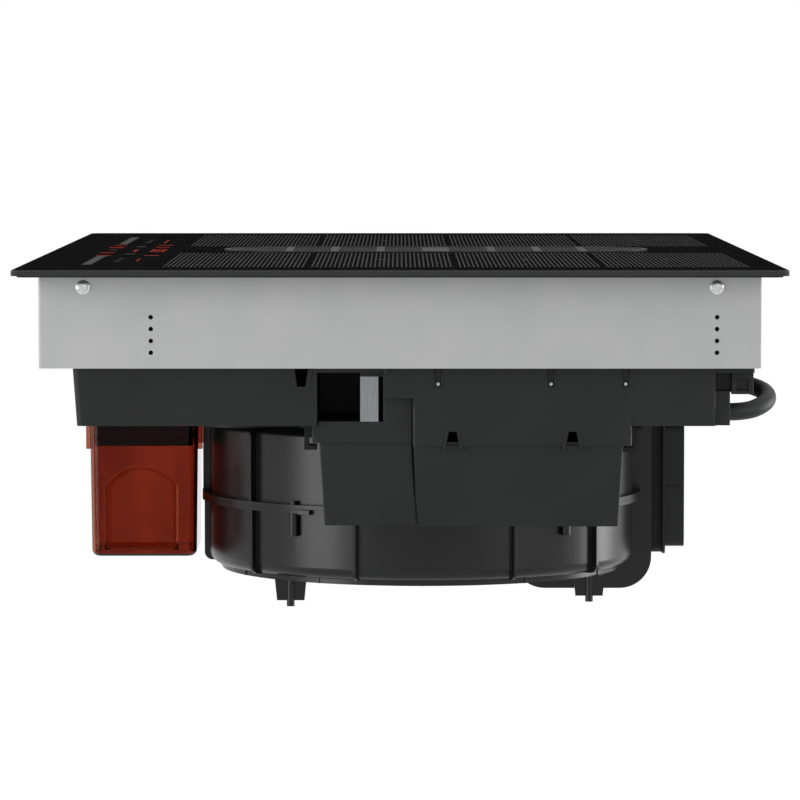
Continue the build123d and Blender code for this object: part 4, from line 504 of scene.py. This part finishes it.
# A bar is its two x and its two y.  A row of dashes is a count, the first x, a step, a
# width and its two y.
END_BARS = [(124, 128, -221.7, -211.1), (-96.5, -92.5, -222, -212),
            (124, 128, -186.6, -176), (-96.5, -92.5, -187.7, -176.3)]
LEVELS = [("5", 60, -221.5), ("1", 70, -221.5), ("0", -50, -221.5), ("9", -40, -221.5),
          ("0", -48, -186.5)]
LEVEL_SIZE, CLOCK_SIZE = (5.0, 9.0, 1.3), (8.5, 9.0, 1.7)      # width, height and bar
CLOCK, CLOCK_X, CLOCK_Y, CLOCK_STEP = "0915", -1, -186.0, 14
LIT_DASHES = [(5, 190, 10, 4, -186.4, -185.0), (6, -214, 12, 5, -186.8, -185.2),
              (5, 6, 9, 4, -199.5, -197.5)]
lit = list(END_BARS)
for digit, x, y in LEVELS:
    lit += figure(digit, x, y, *LEVEL_SIZE)
for place, digit in enumerate(CLOCK):
    lit += figure(digit, CLOCK_X + place * CLOCK_STEP, CLOCK_Y, *CLOCK_SIZE)
for row in LIT_DASHES:
    lit += dashes(*row)
plates("display_figures", display_red, lit)
print("lit bars:", len(lit))

# %% [markdown]
# Between the slider and the figures lie the keys: five on each side, plus and minus signs
# by turns, and a few plain bars.

# %% Key marks
SIGN_MIDDLES, SIGN_STEP, SIGN_Y = (213.0, -190.0), 16, -199.3
SIGN_ARM, SIGN_HALF_BAR = 3.5, 0.7
PLAIN_BARS = [(2, 99, -9, 4, -202, -195), (2, -69, 9, 4, -203, -196), (2, 8, 7, 3, -219, -213)]
keys = []
for middle in SIGN_MIDDLES:
    for step in range(-2, 3):
        x = middle + SIGN_STEP * step
        keys.append(about(x, SIGN_Y, SIGN_ARM, SIGN_HALF_BAR))
        if step % 2 == 0:
            keys.append(about(x, SIGN_Y, SIGN_HALF_BAR, SIGN_ARM))
for row in PLAIN_BARS:
    keys += dashes(*row)
plates("key_marks", symbol_ink, keys)
print("key bars:", len(keys))

# %% [markdown]
# ## Case screws
#
# Four pan-head screws hold the casing.  The frame has plain heads.  A real head is a flat
# pan on a thin flange with a cross recess, and its rims catch the light, so one head is
# turned from a lathe profile here, its recess cut with a boolean, and then copied.

# %% Screw heads


def lathe(name, profile, material, steps=40):
    """Turn a profile of (radius, height) points about Z into a closed mesh object."""
    mesh = bmesh.new()
    ring = [mesh.verts.new((radius, 0, height)) for radius, height in profile]
    edges = [mesh.edges.new(pair) for pair in zip(ring, ring[1:])]
    bmesh.ops.spin(mesh, geom=ring + edges, angle=math.tau, steps=steps, axis=(0, 0, 1),
                   cent=(0, 0, 0))
    bmesh.ops.remove_doubles(mesh, verts=mesh.verts, dist=1e-7)
    bmesh.ops.recalc_face_normals(mesh, faces=mesh.faces)
    data = bpy.data.meshes.new(name)
    mesh.to_mesh(data)
    mesh.free()
    data.materials.append(material)
    made = bpy.data.objects.new(name, data)
    bpy.context.scene.collection.objects.link(made)
    return made


def cut(target, cutter):
    """Cut one object from another for good, and drop the cutter."""
    step = target.modifiers.new("cut", "BOOLEAN")
    step.operation, step.object, step.solver = "DIFFERENCE", cutter, "EXACT"
    step.use_self = True
    bpy.context.view_layer.update()
    shaped = bpy.data.meshes.new_from_object(
        target.evaluated_get(bpy.context.evaluated_depsgraph_get()))
    target.modifiers.clear()
    target.data = shaped
    bpy.data.objects.remove(cutter)


SCREW_Y, SCREW_Z, HEAD_R, HEAD_H = 213.8, -7.5, 4.7, 2.2
RECESS_LENGTH, RECESS_WIDTH, RECESS_LOW, RECESS_HIGH = 4.4, 1.1, 0.8, 3.2
SHARP_ABOVE = math.radians(32)
QUARTER_TURN, TURN_STEP = math.pi / 2, 0.3      # no two screws stop at the same turn
wall_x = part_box("casing")[1].x / MM
head_profile = [(0, -3.0), (2.0, -3.0), (2.0, 0.02), (HEAD_R, 0.02), (HEAD_R, 0.5),
                (HEAD_R - 0.25, 0.65), (3.5, 0.8), (3.4, 1.5), (3.1, HEAD_H - 0.15),
                (2.7, HEAD_H), (0, HEAD_H)]
head = lathe("screw_head", [(r * MM, h * MM) for r, h in head_profile], bright_steel)
cross = bmesh.new()
for turn in (0.0, QUARTER_TURN):
    bmesh.ops.create_cube(
        cross, size=1.0, matrix=Matrix.Rotation(turn, 4, "Z")
        @ Matrix.Translation((0, 0, (RECESS_LOW + RECESS_HIGH) / 2 * MM))
        @ Matrix.Diagonal((RECESS_LENGTH * MM, RECESS_WIDTH * MM,
                           (RECESS_HIGH - RECESS_LOW) * MM, 1)))
cross_data = bpy.data.meshes.new("cross")
cross.to_mesh(cross_data)
cross.free()
cross_cutter = bpy.data.objects.new("cross", cross_data)
bpy.context.scene.collection.objects.link(cross_cutter)
cut(head, cross_cutter)
for polygon in head.data.polygons:
    polygon.use_smooth = True
head.data.set_sharp_from_angle(angle=SHARP_ABOVE)
print("screw head:", len(head.data.polygons), "faces")

# %% Four screws
screws = []
for side in (-1, 1):
    for end in (-1, 1):
        screw = head if not screws else head.copy()
        if screws:
            bpy.context.scene.collection.objects.link(screw)
        screw.name = f"case_screw_{len(screws) + 1}"
        screw.matrix_world = (Matrix.Translation((side * wall_x * MM, end * SCREW_Y * MM,
                                                  SCREW_Z * MM))
                              @ Matrix.Rotation(side * QUARTER_TURN, 4, "Y")
                              @ Matrix.Rotation(TURN_STEP * (len(screws) + 1), 4, "Z"))
        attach(screw, "cooktop")
        screws.append(screw)
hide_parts("casing_screws")
print("case screws:", len(screws))

# %% [markdown]
# ## The supply lead
#
# A stiff mains lead of 12.2 mm leaves the tray through one gland, loops round in the
# open and goes back in through the other.  Its route is six given points, and the
# smooth line is a NURBS curve that they pull, so it bends as one piece does.

# %% Lead
LEAD_MM = 12.2
route = [(330, 210.7, -94.2), (330, 234.5, -96), (310.1, 254.4, -89.7),
         (281.9, 254.4, -82.8), (262, 234.5, -78.4), (262, 210.7, -77)]
line = bpy.data.curves.new("supply_lead_line", "CURVE")
line.dimensions = "3D"
line.bevel_depth = LEAD_MM / 2 * MM
line.bevel_resolution = 8
line.resolution_u = 24
line.use_fill_caps = True
spline = line.splines.new("NURBS")
spline.points.add(len(route) - 1)
for point, (x, y, z) in zip(spline.points, route):
    point.co = (x * MM, y * MM, z * MM, 1)
spline.order_u = 3
spline.use_endpoint_u = True
line.materials.append(lead_rubber)
lead = bpy.data.objects.new("supply_lead_loop", line)
bpy.context.scene.collection.objects.link(lead)
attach(lead, "cooktop")
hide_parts("supply_lead")
print("lead:", LEAD_MM, "mm thick on", len(route), "points")

# %% [markdown]
# ## Studio
#
# The hob hangs in its worktop, so nothing stands under it and the pale floor lies well
# below.  The background is white to the camera and in mirrors, while the light on the
# object comes from soft lamps.  Behind the glass stands a black card that only gloss
# can see: photographers flag black glass that way, because at this low angle it would
# mirror the white wall and turn white itself.

# %% Floor
FLOOR_Z, FLOOR_SIZE = -0.62, 60
FLOOR_GLOW, GLOW_SHARE = 1.03, 0.95      # the rest is paint, which keeps a faint shadow


def seen_directly(tree):
    """1 for rays from the camera, from gloss and through glass; 0 for light on things."""
    path = put(tree, "ShaderNodeLightPath")
    some = put(tree, "ShaderNodeMath", {0: path.outputs["Is Camera Ray"],
                                        1: path.outputs["Is Glossy Ray"]}, operation="MAXIMUM")
    return put(tree, "ShaderNodeMath", {0: some.outputs[0],
                                        1: path.outputs["Is Transmission Ray"]},
               operation="MAXIMUM").outputs[0]


floor_paint, tree, shader = finish_of("pale_floor_paint", Roughness=0.9)
shader.inputs["Base Color"].default_value = linear("#F4F4F4")
glow = put(tree, "ShaderNodeEmission", {"Color": linear("#FFFFFF"), "Strength": FLOOR_GLOW})
blend = put(tree, "ShaderNodeMixShader")
share = put(tree, "ShaderNodeMath", {0: seen_directly(tree), 1: GLOW_SHARE},
            operation="MULTIPLY")
tree.links.new(share.outputs[0], blend.inputs["Fac"])
tree.links.new(shader.outputs["BSDF"], blend.inputs[1])
tree.links.new(glow.outputs[0], blend.inputs[2])
tree.links.new(blend.outputs[0], tree.nodes["Material Output"].inputs["Surface"])

bpy.ops.mesh.primitive_plane_add(size=FLOOR_SIZE, location=(0, 0, FLOOR_Z))
floor = bpy.context.object
floor.name = "studio_floor"
floor.data.materials.append(floor_paint)
print("floor:", FLOOR_SIZE, "m square, at z =", FLOOR_Z, "m")

# %% World
WORLD_LIGHT, WORLD_SEEN = 0.42, 1.0
world = bpy.data.worlds.new("studio_world")
bpy.context.scene.world = world
world.use_nodes = True
tree = world.node_tree
background = tree.nodes["Background"]
background.inputs["Color"].default_value = (1, 1, 1, 1)
strength = put(tree, "ShaderNodeMapRange", {"Value": seen_directly(tree), "To Min": WORLD_LIGHT,
                                            "To Max": WORLD_SEEN})
tree.links.new(strength.outputs[0], background.inputs["Strength"])
print("world:", WORLD_SEEN, "where it is seen and", WORLD_LIGHT, "as light")

# %% Black card
CARD_X, CARD_Z, CARD_HEIGHT, CARD_WIDTH = -1.3, 0.16, 0.36, 2.6
card_paint, tree, shader = finish_of("black_card", Roughness=1.0, Specular_IOR_Level=0.0)
shader.inputs["Base Color"].default_value = linear("#151515")
bpy.ops.mesh.primitive_plane_add(size=1, location=(CARD_X, 0, CARD_Z),
                                 rotation=(0, math.pi / 2, 0))
card = bpy.context.object
card.name = "black_card"
card.scale = (CARD_HEIGHT, CARD_WIDTH, 1)
card.data.materials.append(card_paint)
card.visible_camera = False
card.visible_diffuse = False
card.visible_transmission = False
card.visible_shadow = False
print("card:", CARD_WIDTH, "x", CARD_HEIGHT, "m at x =", CARD_X)

# %% [markdown]
# The lamps leave the glass out: it would mirror them as white slabs from some sides, and
# black glass takes no other light from them.

# %% Lamps
all_but_glass = bpy.data.collections.new("all_but_glass")
all_but_glass.objects.link(nodes["glass_top"])
all_but_glass.collection_objects[0].light_linking.link_state = "EXCLUDE"


def soft_box(name, place, aim, width, height, watts):
    """A rectangular lamp that points at a place."""
    lamp = bpy.data.lights.new(name, "AREA")
    lamp.shape, lamp.size, lamp.size_y, lamp.energy = "RECTANGLE", width, height, watts
    made = bpy.data.objects.new(name, lamp)
    made.location = place
    made.rotation_euler = (Vector(aim) - Vector(place)).to_track_quat("-Z", "Y").to_euler()
    made.light_linking.receiver_collection = all_but_glass
    bpy.context.scene.collection.objects.link(made)


MIDDLE = (0, 0, -0.12)
# Each box has a name, a place, a width and a height in metres, and watts.
BOXES = [("front_left_box", (1.6, -2.2, 0.2), 1.2, 1.8, 42),
         ("front_right_box", (1.9, 2.3, 0.6), 1.4, 1.4, 20),
         ("side_rear_box", (-0.8, 2.4, -0.1), 1.0, 1.6, 34),
         ("top_box", (0.4, 0, 2.4), 2.2, 2.2, 30)]
for name, place, width, height, watts in BOXES:
    soft_box(name, place, MIDDLE, width, height, watts)
print("lamps:", len(BOXES), "with", sum(box[-1] for box in BOXES), "W")

# %% [markdown]
# ## Camera
#
# The photograph looks along the worktop from the user's right, a little above the glass,
# through a long lens.  The glass's four corners in it give the distance and the tilt,
# which is stated as how far the horizon lies above the picture's middle.

# %% Camera
PICTURE_PX, FOCAL_PX, HORIZON_PX = 800, 4508.4, 307.4
CAMERA_PLACE = (3.4124, 0, 0.1235)
tilt = math.atan(HORIZON_PX / FOCAL_PX)
lens = bpy.data.cameras.new("camera")
lens.sensor_width = 36
lens.lens = FOCAL_PX * lens.sensor_width / PICTURE_PX
lens.clip_end = 100
camera = bpy.data.objects.new("camera", lens)
camera.location = CAMERA_PLACE
camera.rotation_euler = (math.pi / 2 - tilt, 0, math.pi / 2)
bpy.context.scene.collection.objects.link(camera)
bpy.context.scene.camera = camera
bpy.context.scene.view_settings.view_transform = "Standard"
print("lens:", round(lens.lens), "mm, tilted", round(math.degrees(tilt), 2), "degrees down")
